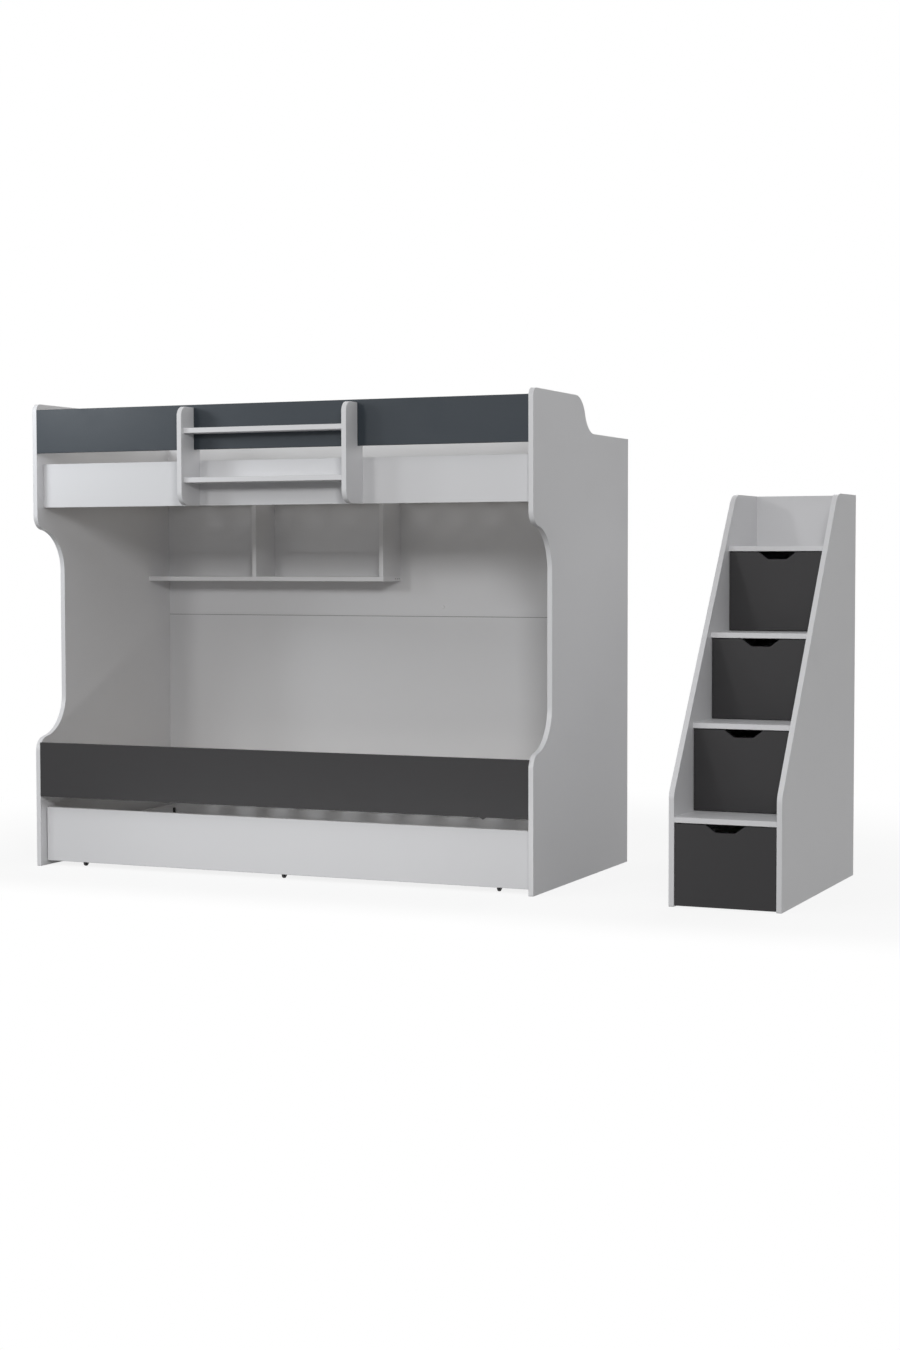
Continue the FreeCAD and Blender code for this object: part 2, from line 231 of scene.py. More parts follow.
class ShaderTree(NodeTree):
    """A shader's node tree in the making."""

    def __init__(self, owner: bpy.types.ID) -> None:
        """Empties the node tree of a material or a world.

        Args:
            owner: the material or the world.
        """
        owner.use_nodes = True
        super().__init__(owner.node_tree)
        self.tree.nodes.clear()
        self._coordinates = None

    def coordinates(self, kind: str) -> bpy.types.NodeSocket:
        """One of the coordinates that the shader is given, by its name."""
        if self._coordinates is None:
            self._coordinates = self.node("ShaderNodeTexCoord")
        return self._coordinates.outputs[kind]

    def seen_ray(self) -> Signal:
        """1 for what the camera sees, also in gloss or through glass, and 0 for plain light."""
        rays = self.node("ShaderNodeLightPath").outputs
        seen = Signal(self, rays["Is Camera Ray"]) + Signal(self, rays["Is Glossy Ray"])
        return (seen + Signal(self, rays["Is Transmission Ray"])).limited()

    def parts(self, vector: bpy.types.NodeSocket) -> list[Signal]:
        """A vector's three numbers."""
        node = self.node("ShaderNodeSeparateXYZ", None, {0: vector})
        return [Signal(self, node.outputs[i]) for i in range(3)]

    def stretched(self, vector: bpy.types.NodeSocket, scale: Iterable[float],
                  shift: Iterable[float] = (0.0, 0.0, 0.0)) -> bpy.types.NodeSocket:
        """A vector with each of its numbers multiplied and then shifted.

        Args:
            vector: the vector's socket.
            scale: the three factors.
            shift: what is added to the three results.

        Returns:
            The changed vector's socket.
        """
        node = self.node("ShaderNodeVectorMath", {"operation": "MULTIPLY_ADD"},
                         {0: vector, 1: tuple(scale), 2: tuple(shift)})
        return node.outputs[0]

    def mixed(self, share: Number, low: Paint, high: Paint) -> Tint:
        """Two colours mixed: the first at share 0, the second at share 1."""
        node = self.node("ShaderNodeMix", {"data_type": "RGBA"}, {0: share, 6: low, 7: high})
        return Tint(self, node.outputs[2])


class Surface(ShaderTree):
    """One finish in the making: a material with patterns laid on the piece's own place."""

    def __init__(self, name: str) -> None:
        """Starts an empty material.

        Args:
            name: the material's name.
        """
        self.material = bpy.data.materials.new(name)
        super().__init__(self.material)

    def place(self) -> bpy.types.NodeSocket:
        """The socket with the point's place on the piece, in metres."""
        return self.coordinates("Object")

    def facing(self, axis: Axis) -> Signal:
        """How far the surface looks along a direction: 1 along it, 0 square to it, -1 against."""
        node = self.node("ShaderNodeVectorMath", {"operation": "DOT_PRODUCT"},
                         {0: self.coordinates("Normal"), 1: axis.vector})
        return Signal(self, node.outputs["Value"])

    def attribute(self, name: str) -> bpy.types.Node:
        """The node that reads one of the mesh's own attributes."""
        return self.node("ShaderNodeAttribute", {"attribute_name": name})

    def noise(self, scale: float, detail: float = 2.0,
              vector: bpy.types.NodeSocket | None = None, rough: float = 0.5) -> Signal:
        """Soft noise, about 0 on average and mostly from -0.5 to 0.5.

        Args:
            scale: waves per metre, or per unit of the vector given.
            detail: how many finer layers lie on it.
            vector: where it is read, the place on the piece if none is given.
            rough: how strong the finer layers are.

        Returns:
            The noise.
        """
        node = self.node("ShaderNodeTexNoise", None, {
            "Vector": vector or self.place(), "Scale": scale, "Detail": detail,
            "Roughness": rough})
        return Signal(self, node.outputs["Fac"]) - 0.5

    def drawn(self, scale: Iterable[float], detail: float = 2.0, rough: float = 0.5,
              vector: bpy.types.NodeSocket | None = None) -> Signal:
        """Soft noise drawn out: its waves per metre differ from one direction to the next.

        Args:
            scale: the waves per metre in each direction.
            detail: how many finer layers lie on it.
            rough: how strong the finer layers are.
            vector: where it is read, the place on the piece if none is given.

        Returns:
            The noise.
        """
        return self.noise(1.0, detail, self.stretched(vector or self.place(), scale), rough)

    def cells(self, scale: float, vector: bpy.types.NodeSocket | None = None) -> Signal:
        """The distance to the nearest of many scattered points, in cells."""
        node = self.node("ShaderNodeTexVoronoi", {"feature": "F1"},
                         {"Vector": vector or self.place(), "Scale": scale})
        return Signal(self, node.outputs["Distance"])

    def relief(self, height: Signal, depth: float) -> bpy.types.NodeSocket:
        """A surface normal for fine relief.

        Args:
            height: the relief, about one unit from low to high.
            depth: the relief's real depth in metres.

        Returns:
            The normal's socket.
        """
        node = self.node("ShaderNodeBump", None,
                         {"Strength": 1.0, "Distance": depth, "Height": height})
        return node.outputs["Normal"]

    def end(self, shader: bpy.types.NodeSocket) -> bpy.types.Material:
        """Joins the shader to the output.

        Args:
            shader: the last shader's socket.

        Returns:
            The finished material.
        """
        self.node("ShaderNodeOutputMaterial", None, {"Surface": shader})
        return self.material

    def finish(self, base: Paint, roughness: Number, normal: bpy.types.NodeSocket | None = None,
               metallic: Number = 0.0, specular: float = 0.5) -> bpy.types.Material:
        """Ends the material in one principled shader.

        Args:
            base: the base colour.
            roughness: the roughness.
            normal: the normal of the fine relief, if any.
            metallic: 1 for bare metal.
            specular: the strength of the plain gloss, 0.5 for common plastics and lacquers.

        Returns:
            The finished material.
        """
        inputs = {"Base Color": base, "Roughness": roughness, "Metallic": metallic,
                  "Specular IOR Level": specular}
        if normal is not None:
            inputs["Normal"] = normal
        shader = self.node("ShaderNodeBsdfPrincipled", None, inputs)
        return self.end(shader.outputs[0])


# ---------------------------------------------------------------- finishes
@dataclass(frozen=True)
class Finish:
    """What every finish has: its name and the material slot that it belongs to."""

    name: str
    slot: str

    def dress(self) -> bpy.types.Material:
        """Makes the material."""
        raise NotImplementedError


@dataclass(frozen=True)
class Melamine(Finish):
    """Chipboard faced with pressed film, its cut edges closed with a matching band."""

    wide: Axis                      # the way the wide faces look
    face: Colour
    band: Colour
    worn: Colour                    # the thin line where film and band meet
    roughness: float = 0.40
    specular: float = 0.45
    cloud: float = 0.030            # slow change of shade over a board
    fleck: float = 0.030            # fine grain of the film
    streak: float = 0.0             # strength of the long fibres in the print
    fibres: Axis = Axis.ALONG       # the way the fibres run
    pearl_depth: float = 0.035 * MM

    def dress(self) -> bpy.types.Material:
        """Makes the material."""
        film = Surface(self.name)
        flat = abs(film.facing(self.wide))
        band = 1.0 - flat.rising(0.30, 0.55)
        seam = flat.rising(0.45, 0.68) * (1.0 - flat.rising(0.80, 0.97))
        clouds = film.noise(2.3, detail=3.0)
        flecks = film.noise(620.0, detail=3.0, rough=0.65)
        fibres = film.drawn(self.fibres.factors(9.0, 420.0), detail=3.0)
        hands = film.noise(7.0, detail=4.0).rising(0.02, 0.30)
        shade = 1.0 + clouds * self.cloud + flecks * self.fleck + fibres * self.streak
        colour = film.mixed(band, self.face, self.band)
        colour = colour.toward(self.worn, seam * 0.35).times(shade)
        # pressed pearl relief on the film, fine saw ripples along the band
        pearls = 1.0 - film.cells(1150.0).rising(0.0, 0.75)
        ripples = film.drawn(self.fibres.factors(260.0, 900.0), detail=1.0)
        relief = pearls * (1.0 - band) + ripples * band * 0.8 + clouds * 0.5
        roughness = self.roughness - band * 0.06 + flecks * 0.10 + hands * 0.05 + fibres * 0.06
        return film.finish(colour, roughness.limited(), film.relief(relief, self.pearl_depth),
                           specular=self.specular)


@dataclass(frozen=True)
class FoilBoard(Finish):
    """The matt white foil on the sides and backs of the drawer boxes, with a bare pressed core."""

    wide: Axis
    face: Colour = (0.66, 0.66, 0.65)
    core: Colour = (0.46, 0.36, 0.25)
    chip: Colour = (0.62, 0.52, 0.38)       # the lighter chips in the core

    def dress(self) -> bpy.types.Material:
        """Makes the material."""
        foil = Surface(self.name)
        flat = abs(foil.facing(self.wide))
        top = foil.facing(Axis.UP).rising(0.5, 0.8)
        ends = (1.0 - flat.rising(0.3, 0.6)) * (1.0 - top)
        chips = foil.cells(430.0)
        grain = foil.noise(900.0, detail=3.0)
        lines = foil.drawn(Axis.DEEP.factors(14.0, 380.0))
        core = foil.mixed(chips.rising(0.1, 0.7), self.core, self.chip)
        colour = foil.mixed(ends, self.face, core).times(1.0 + grain * 0.05 + lines * 0.03)
        relief = lines * 0.4 + grain * 0.5 + chips * ends * 3.0
        return foil.finish(colour, 0.52 + grain * 0.1 + ends * 0.25,
                           foil.relief(relief, 0.05 * MM), specular=0.4)


@dataclass(frozen=True)
class ThinBoard(Finish):
    """Thin hardboard: painted white on one face, brown with a screen print on the other."""

    bare_side: Axis                 # the bare face looks this way
    bare_sign: float                # 1 along that direction, -1 against it
    paint: Colour = (0.66, 0.66, 0.672)
    light: Colour = (0.33, 0.19, 0.095)
    dark: Colour = (0.17, 0.085, 0.035)
    mesh_pitch: float = 1.4 * MM

    def dress(self) -> bpy.types.Material:
        """Makes the material."""
        board = Surface(self.name)
        looking = board.facing(self.bare_side) * self.bare_sign
        bare = looking.rising(-0.6, -0.3)
        rear = looking.rising(0.3, 0.6)
        across = board.parts(board.place())
        first, second = self.bare_side.others
        turns = 2.0 * math.pi / self.mesh_pitch
        mesh = (across[first] * turns).sine() * (across[second] * turns).sine()
        fibres = board.drawn((260.0, 260.0, 260.0), detail=4.0, rough=0.7)
        clouds = board.noise(3.0, detail=3.0)
        brown = board.mixed((fibres + 0.5 + clouds * 0.4).limited(), self.dark, self.light)
        colour = board.mixed(bare, self.paint, brown).times(
            1.0 + clouds * 0.04 + mesh * rear * 0.08)
        relief = mesh * rear * 0.7 + fibres * 0.8
        return board.finish(colour, 0.45 + bare * 0.35 + fibres * 0.08,
                            board.relief(relief, 0.07 * MM), specular=0.4)


@dataclass(frozen=True)
class Softwood(Finish):
    """Planed pale pine, with its rings, rays and a few knots."""

    run: Axis                       # the way the grain runs
    by_plank: bool = False          # each plank has its own grain, kept on its mesh
    early: Colour = (0.55, 0.50, 0.42)
    late: Colour = (0.45, 0.39, 0.31)
    knot: Colour = (0.27, 0.17, 0.09)
    ring_width: float = 3.4 * MM
    pith_off: float = 42.0 * MM     # how far the middle of the trunk lies under a plank

    def dress(self) -> bpy.types.Material:
        """Makes the material."""
        wood = Surface(self.name)
        if self.by_plank:
            vector = wood.attribute("grain").outputs["Vector"]
            plank = Signal(wood, wood.attribute("plank").outputs["Fac"])
        else:
            vector = wood.place()
            plank = wood.noise(0.4, detail=0.0) + 0.5
        numbers = wood.parts(vector)
        first, second = self.run.others
        along = numbers[self.run.value] + plank * 9.0
        combined = wood.node("ShaderNodeCombineXYZ", None,
                             {0: numbers[first], 1: numbers[second], 2: along})
        trunk = combined.outputs[0]
        bend = wood.drawn((9.0, 9.0, 2.2), vector=trunk)
        side = numbers[first] + (plank - 0.5) * 0.05 + bend * 0.030
        under = numbers[second] + self.pith_off + bend * 0.018
        ripple = wood.drawn((60.0, 60.0, 7.0), detail=3.0, vector=trunk)
        radius = (side * side + under * under).root() + ripple * 0.0012
        knots = wood.cells(1.0, vector=wood.stretched(trunk, (11.0, 11.0, 3.1)))
        eye = 1.0 - knots.rising(0.045, 0.13)
        halo = 1.0 - knots.rising(0.09, 0.34)
        ring = ((radius + halo * 0.006) / self.ring_width).fraction()
        late = ring.rising(0.35, 0.92) * (1.0 - ring.rising(0.93, 1.0))
        rays = wood.drawn((900.0, 900.0, 30.0), detail=3.0, rough=0.7, vector=trunk)
        tone = 1.0 + rays * 0.16 + (plank - 0.5) * 0.16
        colour = wood.mixed(late * 0.75, self.early, self.late).times(tone)
        colour = colour.toward(self.knot, eye * 0.9)
        ends = abs(wood.facing(self.run)).rising(0.6, 0.9)
        colour = colour.times(1.0 - ends * 0.28)
        relief = late * 0.6 + rays * 1.1 - eye * 0.8
        return wood.finish(colour, 0.55 - late * 0.08 + ends * 0.2 + rays * 0.1,
                           wood.relief(relief, 0.09 * MM), specular=0.35)


@dataclass(frozen=True)
class Metal(Finish):
    """A small metal fitting, bare or coated, with rubbed spots."""

    colour: Colour
    rubbed: Colour
    bare: float                     # 1 for bare metal, 0 for a full coat
    roughness: float = 0.36

    def dress(self) -> bpy.types.Material:
        """Makes the material."""
        skin = Surface(self.name)
        spots = skin.noise(420.0, detail=4.0, rough=0.7)
        scratches = skin.drawn((300.0, 3500.0, 900.0))
        rubbed = (spots + scratches * 0.6).rising(0.10, 0.32)
        colour = skin.mixed(rubbed, self.colour, self.rubbed).times(1.0 + scratches * 0.12)
        metallic = self.bare + rubbed * (1.0 - self.bare) * 0.6
        return skin.finish(colour, (self.roughness + spots * 0.25 + scratches * 0.15).limited(),
                           skin.relief(spots + scratches, 0.02 * MM), metallic=metallic)


@dataclass(frozen=True)
class Moulded(Finish):
    """Injection moulded plastic with a fine spark texture and light scuffs."""

    colour: Colour
    scuffed: Colour
    roughness: float = 0.45
    texture: float = 0.05 * MM

    def dress(self) -> bpy.types.Material:
        """Makes the material."""
        skin = Surface(self.name)
        spark = skin.noise(2400.0, detail=2.0)
        scuffs = skin.drawn((900.0, 250.0, 250.0), detail=3.0, rough=0.6)
        worn = scuffs.rising(0.06, 0.30)
        colour = skin.mixed(worn * 0.6, self.colour, self.scuffed).times(1.0 + spark * 0.10)
        return skin.finish(colour, (self.roughness + worn * 0.15 + spark * 0.12).limited(),
                           skin.relief(spark + worn * 0.4, self.texture))


@dataclass(frozen=True)
class StudioFloor(Finish):
    """The pale studio floor: it keeps the shadow near the set and meets the white further off."""

    colour: Colour = (0.88, 0.88, 0.88)
    light: Colour = (0.91, 0.91, 0.91)      # its lighter specks
    bounce: Colour = (0.12, 0.12, 0.12)     # what it throws back on the set
    near: float = 1.5               # the floor shows its own shade out to here
    far: float = 3.2                # and is pure white from here on
    front: tuple[float, float] = (-1.15, -0.70)     # ahead of the set it turns white sooner
    share: float = 0.15

    def dress(self) -> bpy.types.Material:
        """Makes the material."""
        floor = Surface(self.name)
        x, y, _ = floor.parts(floor.place())
        away = (x * x + y * y).root() + floor.noise(0.5, detail=1.0) * 0.2
        shown = (1.0 - away.rising(self.near, self.far)) * self.share * y.rising(*self.front)
        grain = floor.noise(55.0, detail=4.0)
        pale = floor.mixed(grain + 0.5, self.colour, self.light)
        seen = floor.seen_ray()
        matt = floor.node("ShaderNodeBsdfDiffuse", None, {
            "Color": floor.mixed(seen, self.bounce, pale)})
        white = floor.node("ShaderNodeEmission", None, {"Color": (1.0, 1.0, 1.0)})
        glow = seen * (1.0 - shown)
        mix = floor.node("ShaderNodeMixShader", None,
                         {0: glow, 1: matt.outputs[0], 2: white.outputs[0]})
        return floor.end(mix.outputs[0])


WHITE_FACE: Colour = (0.70, 0.70, 0.713)
WHITE_BAND: Colour = (0.74, 0.74, 0.753)
WHITE_SEAM: Colour = (0.52, 0.52, 0.53)
DARK_FACE: Colour = (0.030, 0.029, 0.0305)
DARK_BAND: Colour = (0.036, 0.035, 0.0365)
DARK_SEAM: Colour = (0.010, 0.010, 0.010)
# The anthracite again for the guard, tinted blue and made a little lighter: painted bluish light
# and reflection on the upper part of the bed.
BLUE_LIT_DARK_FACE: Colour = (0.028, 0.037, 0.047)
BLUE_LIT_DARK_BAND: Colour = (0.032, 0.042, 0.053)


def white_board(wide: Axis) -> Melamine:
    """The white melamine, for boards whose wide faces look along a direction."""
    return Melamine("melamine_white_" + wide.name.lower(), "melamine_white", wide,
                    WHITE_FACE, WHITE_BAND, WHITE_SEAM)


def dark_board(name: str, face: Colour = DARK_FACE, band: Colour = DARK_BAND) -> Melamine:
    """The anthracite melamine, for boards that look to the front."""
    return Melamine(name, "melamine_anthracite", Axis.DEEP, face, band, DARK_SEAM,
                    roughness=0.42, specular=0.30, cloud=0.06, fleck=0.16, streak=0.10,
                    pearl_depth=0.045 * MM)


CHARCOAL = dark_board("melamine_anthracite")
# The guard's anthracite: the same board as the others, its blue tint and extra lightness are
# painted light and reflection.
BLUE_LIT_CHARCOAL = dark_board("melamine_anthracite_blue_lit", BLUE_LIT_DARK_FACE, BLUE_LIT_DARK_BAND)
ZINC = Metal("zinc_plate", "caster_steel", (0.56, 0.56, 0.57), (0.36, 0.35, 0.33), 1.0)
BLACK_STEEL = Metal("black_steel", "caster_steel", (0.018, 0.018, 0.019), (0.16, 0.16, 0.165), 0.0)
BLACK_NYLON = Moulded("black_nylon", "caster_wheel", (0.016, 0.016, 0.017), (0.06, 0.057, 0.052))
BLACK_PLASTIC = Moulded("black_plastic", "caster_wheel", (0.012, 0.012, 0.013),
                        (0.04, 0.04, 0.04))
WHITE_PLASTIC = Moulded("white_plastic", "melamine_white", (0.74, 0.74, 0.75),
                        (0.60, 0.60, 0.60), roughness=0.32, texture=0.01 * MM)
# A flat dark disc where a peg hole is: the hole's shade is painted on it, slightly brown like the
# bare core.
HOLE_SHADE_FINISH = Moulded("peg_hole_painted_shade", "melamine_white", (0.05, 0.045, 0.04),
                    (0.10, 0.08, 0.06), roughness=0.8)
FLOOR = StudioFloor("studio_floor", "")


class FinishRoom:
    """Makes each finish once and puts it on pieces."""

    def __init__(self) -> None:
        """Starts with no finish made."""
        self._made: dict[str, bpy.types.Material] = {}

    def material(self, finish: Finish) -> bpy.types.Material:
        """The material of a finish, made the first time that it is asked for."""
        if finish.name not in self._made:
            self._made[finish.name] = finish.dress()
        return self._made[finish.name]

    def dress_node(self, name: str, finish: Finish) -> None:
        """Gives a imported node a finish.

        Args:
            name: the node's name.
            finish: the finish.
        """
        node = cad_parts[name]
        for slot in node.material_slots:
            slot.material = self.material(finish)
        LOG.info("%s wears %s", name, finish.name)

    def dress_nodes(self, names: Iterable[str], finish: Finish) -> None:
        """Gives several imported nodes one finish."""
        for name in names:
            self.dress_node(name, finish)

    def fit(self, piece: bpy.types.Object, finish: Finish, body: str,
            stands_for: Iterable[str] = ()) -> bpy.types.Object:
        """Gives a new piece its finish and fixes it to a body.

        Args:
            piece: the piece, in its place.
            finish: its finish.
            body: the body that it moves with.
            stands_for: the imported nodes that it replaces.

        Returns:
            The piece.
        """
        if not piece.data.materials:
            piece.data.materials.append(self.material(finish))
        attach(piece, body)
        if stands_for:
            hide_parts(*stands_for)
        LOG.info("%s rides on %s and wears %s", piece.name, body, finish.name)
        return piece


# ---------------------------------------------------------------- meshes
BOARD_SHARP = 40.0                      # degrees over which a board's edge stays sharp
TURNED_SHARP = 38.0                     # and a turned piece's


@dataclass(frozen=True)
class Corner:
    """A corner of an outline and the radius that rounds it."""

    across: float
    up: float
    radius: float = 0.0


def rounded_outline(corners: list[Corner], turn_step: float = 4.0) -> list[tuple[float, float]]:
    """The points of an outline whose corners are true arcs.

    Args:
        corners: the corners, in order.
        turn_step: the turn between two points of an arc, in degrees.

    Returns:
        The points, in order.
    """
    points: list[tuple[float, float]] = []
    count = len(corners)
    for i, corner in enumerate(corners):
        here = Vector((corner.across, corner.up))
        coming = (here - Vector((corners[i - 1].across, corners[i - 1].up))).normalized()
        after = corners[(i + 1) % count]
        going = (Vector((after.across, after.up)) - here).normalized()
        if corner.radius <= 0.0:
            points.append((here.x, here.y))
            continue
        turn = coming.angle(going)
        start = here - coming * corner.radius * math.tan(turn / 2.0)
        inward = Vector((-coming.y, coming.x))
        if inward.dot(going) < 0.0:
            inward.negate()
        centre = start + inward * corner.radius
        steps = max(2, math.ceil(math.degrees(turn) / turn_step))
        for k in range(steps + 1):
            angle = turn * k / steps
            spoke = coming * math.sin(angle) - inward * math.cos(angle)
            point = centre + spoke * corner.radius
            points.append((point.x, point.y))
    return points


def rectangle(left: float, right: float, bottom: float, top: float,
              radius: float = 0.0) -> list[Corner]:
    """The corners of a rectangle, all with one radius."""
    return [Corner(left, bottom, radius), Corner(left, top, radius),
            Corner(right, top, radius), Corner(right, bottom, radius)]


def plain_mesh(piece: bpy.types.Object) -> bpy.types.Object:
    """Turns what a piece's modifiers make into its own plain mesh.

    Args:
        piece: an object with modifiers.

    Returns:
        The same object with the finished mesh and no modifier.
    """
    graph = bpy.context.evaluated_depsgraph_get()
    mesh = bpy.data.meshes.new_from_object(piece.evaluated_get(graph), depsgraph=graph)
    piece.modifiers.clear()
    old = piece.data
    piece.data = mesh
    mesh.name = piece.name
    bpy.data.meshes.remove(old)
    return piece


def new_piece(name: str, mesh: bpy.types.Mesh) -> bpy.types.Object:
    """Puts a mesh in the scene under a name."""
    piece = bpy.data.objects.new(name, mesh)
    bpy.context.scene.collection.objects.link(piece)
    return piece


def closed_mesh(name: str, work: bmesh.types.BMesh, sharp_over: float) -> bpy.types.Mesh:
    """Ends the work on a closed mesh: normals outward, smooth shading, hard turns kept sharp.

    Args:
        name: the mesh's name.
        work: the mesh in the making, which is freed.
        sharp_over: the turn over which an edge stays sharp, in degrees.

    Returns:
        The mesh.
    """
    bmesh.ops.recalc_face_normals(work, faces=work.faces)
    for edge in work.edges:
        edge.smooth = edge.calc_face_angle() < math.radians(sharp_over)
    mesh = bpy.data.meshes.new(name)
    work.to_mesh(mesh)
    work.free()
    mesh.polygons.foreach_set("use_smooth", [True] * len(mesh.polygons))
    return mesh


def inset_outline(points: list[tuple[float, float]], inset: float) -> list[tuple[float, float]]:
    """An outline moved inwards, with its corners mitred.

    Args:
        points: the outline's points, in order.
        inset: how far every side moves in.

    Returns:
        As many points as came in.
    """
    count = len(points)
    places = [Vector(point) for point in points]
    area = sum(places[i - 1].cross(places[i]) for i in range(count))
    side = 1.0 if area > 0.0 else -1.0
    inwards = []
    for i in range(count):
        run = (places[(i + 1) % count] - places[i]).normalized()
        inwards.append(Vector((-run.y, run.x)) * side)
    moved = []
    for i in range(count):
        before, after = inwards[i - 1], inwards[i]
        mitre = (before + after) / (1.0 + before.dot(after))
        point = places[i] + mitre * inset
        moved.append((point.x, point.y))
    return moved


def cut_board(name: str, corners: list[Corner], wide: Axis, low: float, high: float,
              easing: float = 1.0 * MM, steps: int = 3) -> bpy.types.Object:
    """A board sawn to an outline, with the rims of both wide faces rounded.

    Args:
        name: the piece's name.
        corners: the outline's corners, in the two directions square to the wide faces' one.
        wide: the way the wide faces look.
        low: the place of one wide face along that direction.
        high: the place of the other.
        easing: the radius of the rounded rims.
        steps: how many steps each rim's quarter round has.

    Returns:
        The board.
    """
    first, second = wide.others
    outline = rounded_outline(corners)
    turns = [math.pi / 2.0 * k / steps for k in range(steps + 1)]
    rim = [(easing * (1.0 - math.sin(turn)), easing * (1.0 - math.cos(turn))) for turn in turns]
    sections = [(inset, low + depth) for inset, depth in rim]
    sections += [(inset, high - depth) for inset, depth in reversed(rim)]
    work = bmesh.new()
    rings = []
    for inset, level in sections:
        ring = []
        for across, up in inset_outline(outline, inset):
            point = [0.0, 0.0, 0.0]
            point[wide.value], point[first], point[second] = level, across, up
            ring.append(work.verts.new(point))
        rings.append(ring)
    count = len(outline)
    for here, there in zip(rings, rings[1:]):
        for i in range(count):
            j = (i + 1) % count
            work.faces.new((here[j], here[i], there[i], there[j]))
    work.faces.new(rings[0])
    work.faces.new(reversed(rings[-1]))
    piece = new_piece(name, closed_mesh(name, work, BOARD_SHARP))
    piece.modifiers.new("weighted_normals", "WEIGHTED_NORMAL").keep_sharp = True
    return plain_mesh(piece)


def turned(name: str, profile: list[tuple[float, float]], centre: Vector, axis: Axis,
           segments: int = 48) -> bpy.types.Object:
    """A turned piece: a closed profile swept round an axis.

    Args:
        name: the piece's name.
        profile: closed loop of (place along the axis, radius), from the centre.
        centre: the centre.
        axis: the axis of turning.
        segments: how many steps go round.

    Returns:
        The piece.
    """
    first, second = axis.others
    work = bmesh.new()
    rings = []
    for k in range(segments):
        angle = 2.0 * math.pi * k / segments
        ring = []
        for along, radius in profile:
            point = centre.copy()
            point[axis.value] += along
            point[first] += radius * math.cos(angle)
            point[second] += radius * math.sin(angle)
            ring.append(work.verts.new(point))
        rings.append(ring)
    count = len(profile)
    for k in range(segments):
        here, there = rings[k], rings[(k + 1) % segments]
        for i in range(count):
            j = (i + 1) % count
            work.faces.new((here[i], here[j], there[j], there[i]))
    return new_piece(name, closed_mesh(name, work, TURNED_SHARP))


# ---------------------------------------------------------------- geometry recipes
class Recipe(NodeTree):
    """A Geometry Nodes tree in the making, with named sizes going in."""

    def __init__(self, name: str) -> None:
        """Starts a tree with geometry going in and coming out.

        Args:
            name: the tree's name.
        """
        super().__init__(bpy.data.node_groups.new(name, "GeometryNodeTree"))
        self.keys: dict[str, str] = {}
        self.entry = self.tree.nodes.new("NodeGroupInput")
        self.exit = self.tree.nodes.new("NodeGroupOutput")
        for way in ("INPUT", "OUTPUT"):
            self.tree.interface.new_socket("Geometry", in_out=way,
                                           socket_type="NodeSocketGeometry")

    def size(self, name: str, kind: str = "NodeSocketFloat") -> bpy.types.NodeSocket:
        """Adds a named input.

        Args:
            name: the input's name.
            kind: the type of its socket.

        Returns:
            The socket inside the tree.
        """
        item = self.tree.interface.new_socket(name, in_out="INPUT", socket_type=kind)
        self.keys[name] = item.identifier
        return self.entry.outputs[name]

    def geometry(self) -> bpy.types.NodeSocket:
        """The geometry that the modifier starts from."""
        return self.entry.outputs["Geometry"]

    def scaled(self, value: bpy.types.NodeSocket, factor: float,
               more: float = 0.0) -> bpy.types.NodeSocket:
        """A number multiplied by a factor, with more added."""
        return self.node("ShaderNodeMath", {"operation": "MULTIPLY_ADD"},
                         {0: value, 1: factor, 2: more}).outputs[0]

    def close(self, instances: bpy.types.NodeSocket, material: bpy.types.NodeSocket) -> None:
        """Ends the tree: instances made real, then their material.

        Args:
            instances: what the tree has made.
            material: the material's socket.
        """
        real = self.node("GeometryNodeRealizeInstances", None, {"Geometry": instances})
        worn = self.node("GeometryNodeSetMaterial", None,
                         {"Geometry": real.outputs[0], "Material": material})
        self.tree.links.new(worn.outputs[0], self.exit.inputs[0])

    def cook(self, piece: bpy.types.Object, sizes: dict[str, Any]) -> bpy.types.Object:
        """Runs the tree on a piece and keeps the result as its mesh.

        Args:
            piece: the object whose mesh goes in.
            sizes: the values of the named inputs.

        Returns:
            The piece with its finished mesh.
        """
        modifier = piece.modifiers.new(self.tree.name, "NODES")
        modifier.node_group = self.tree
        for name, value in sizes.items():
            modifier[self.keys[name]] = value
        return plain_mesh(piece)


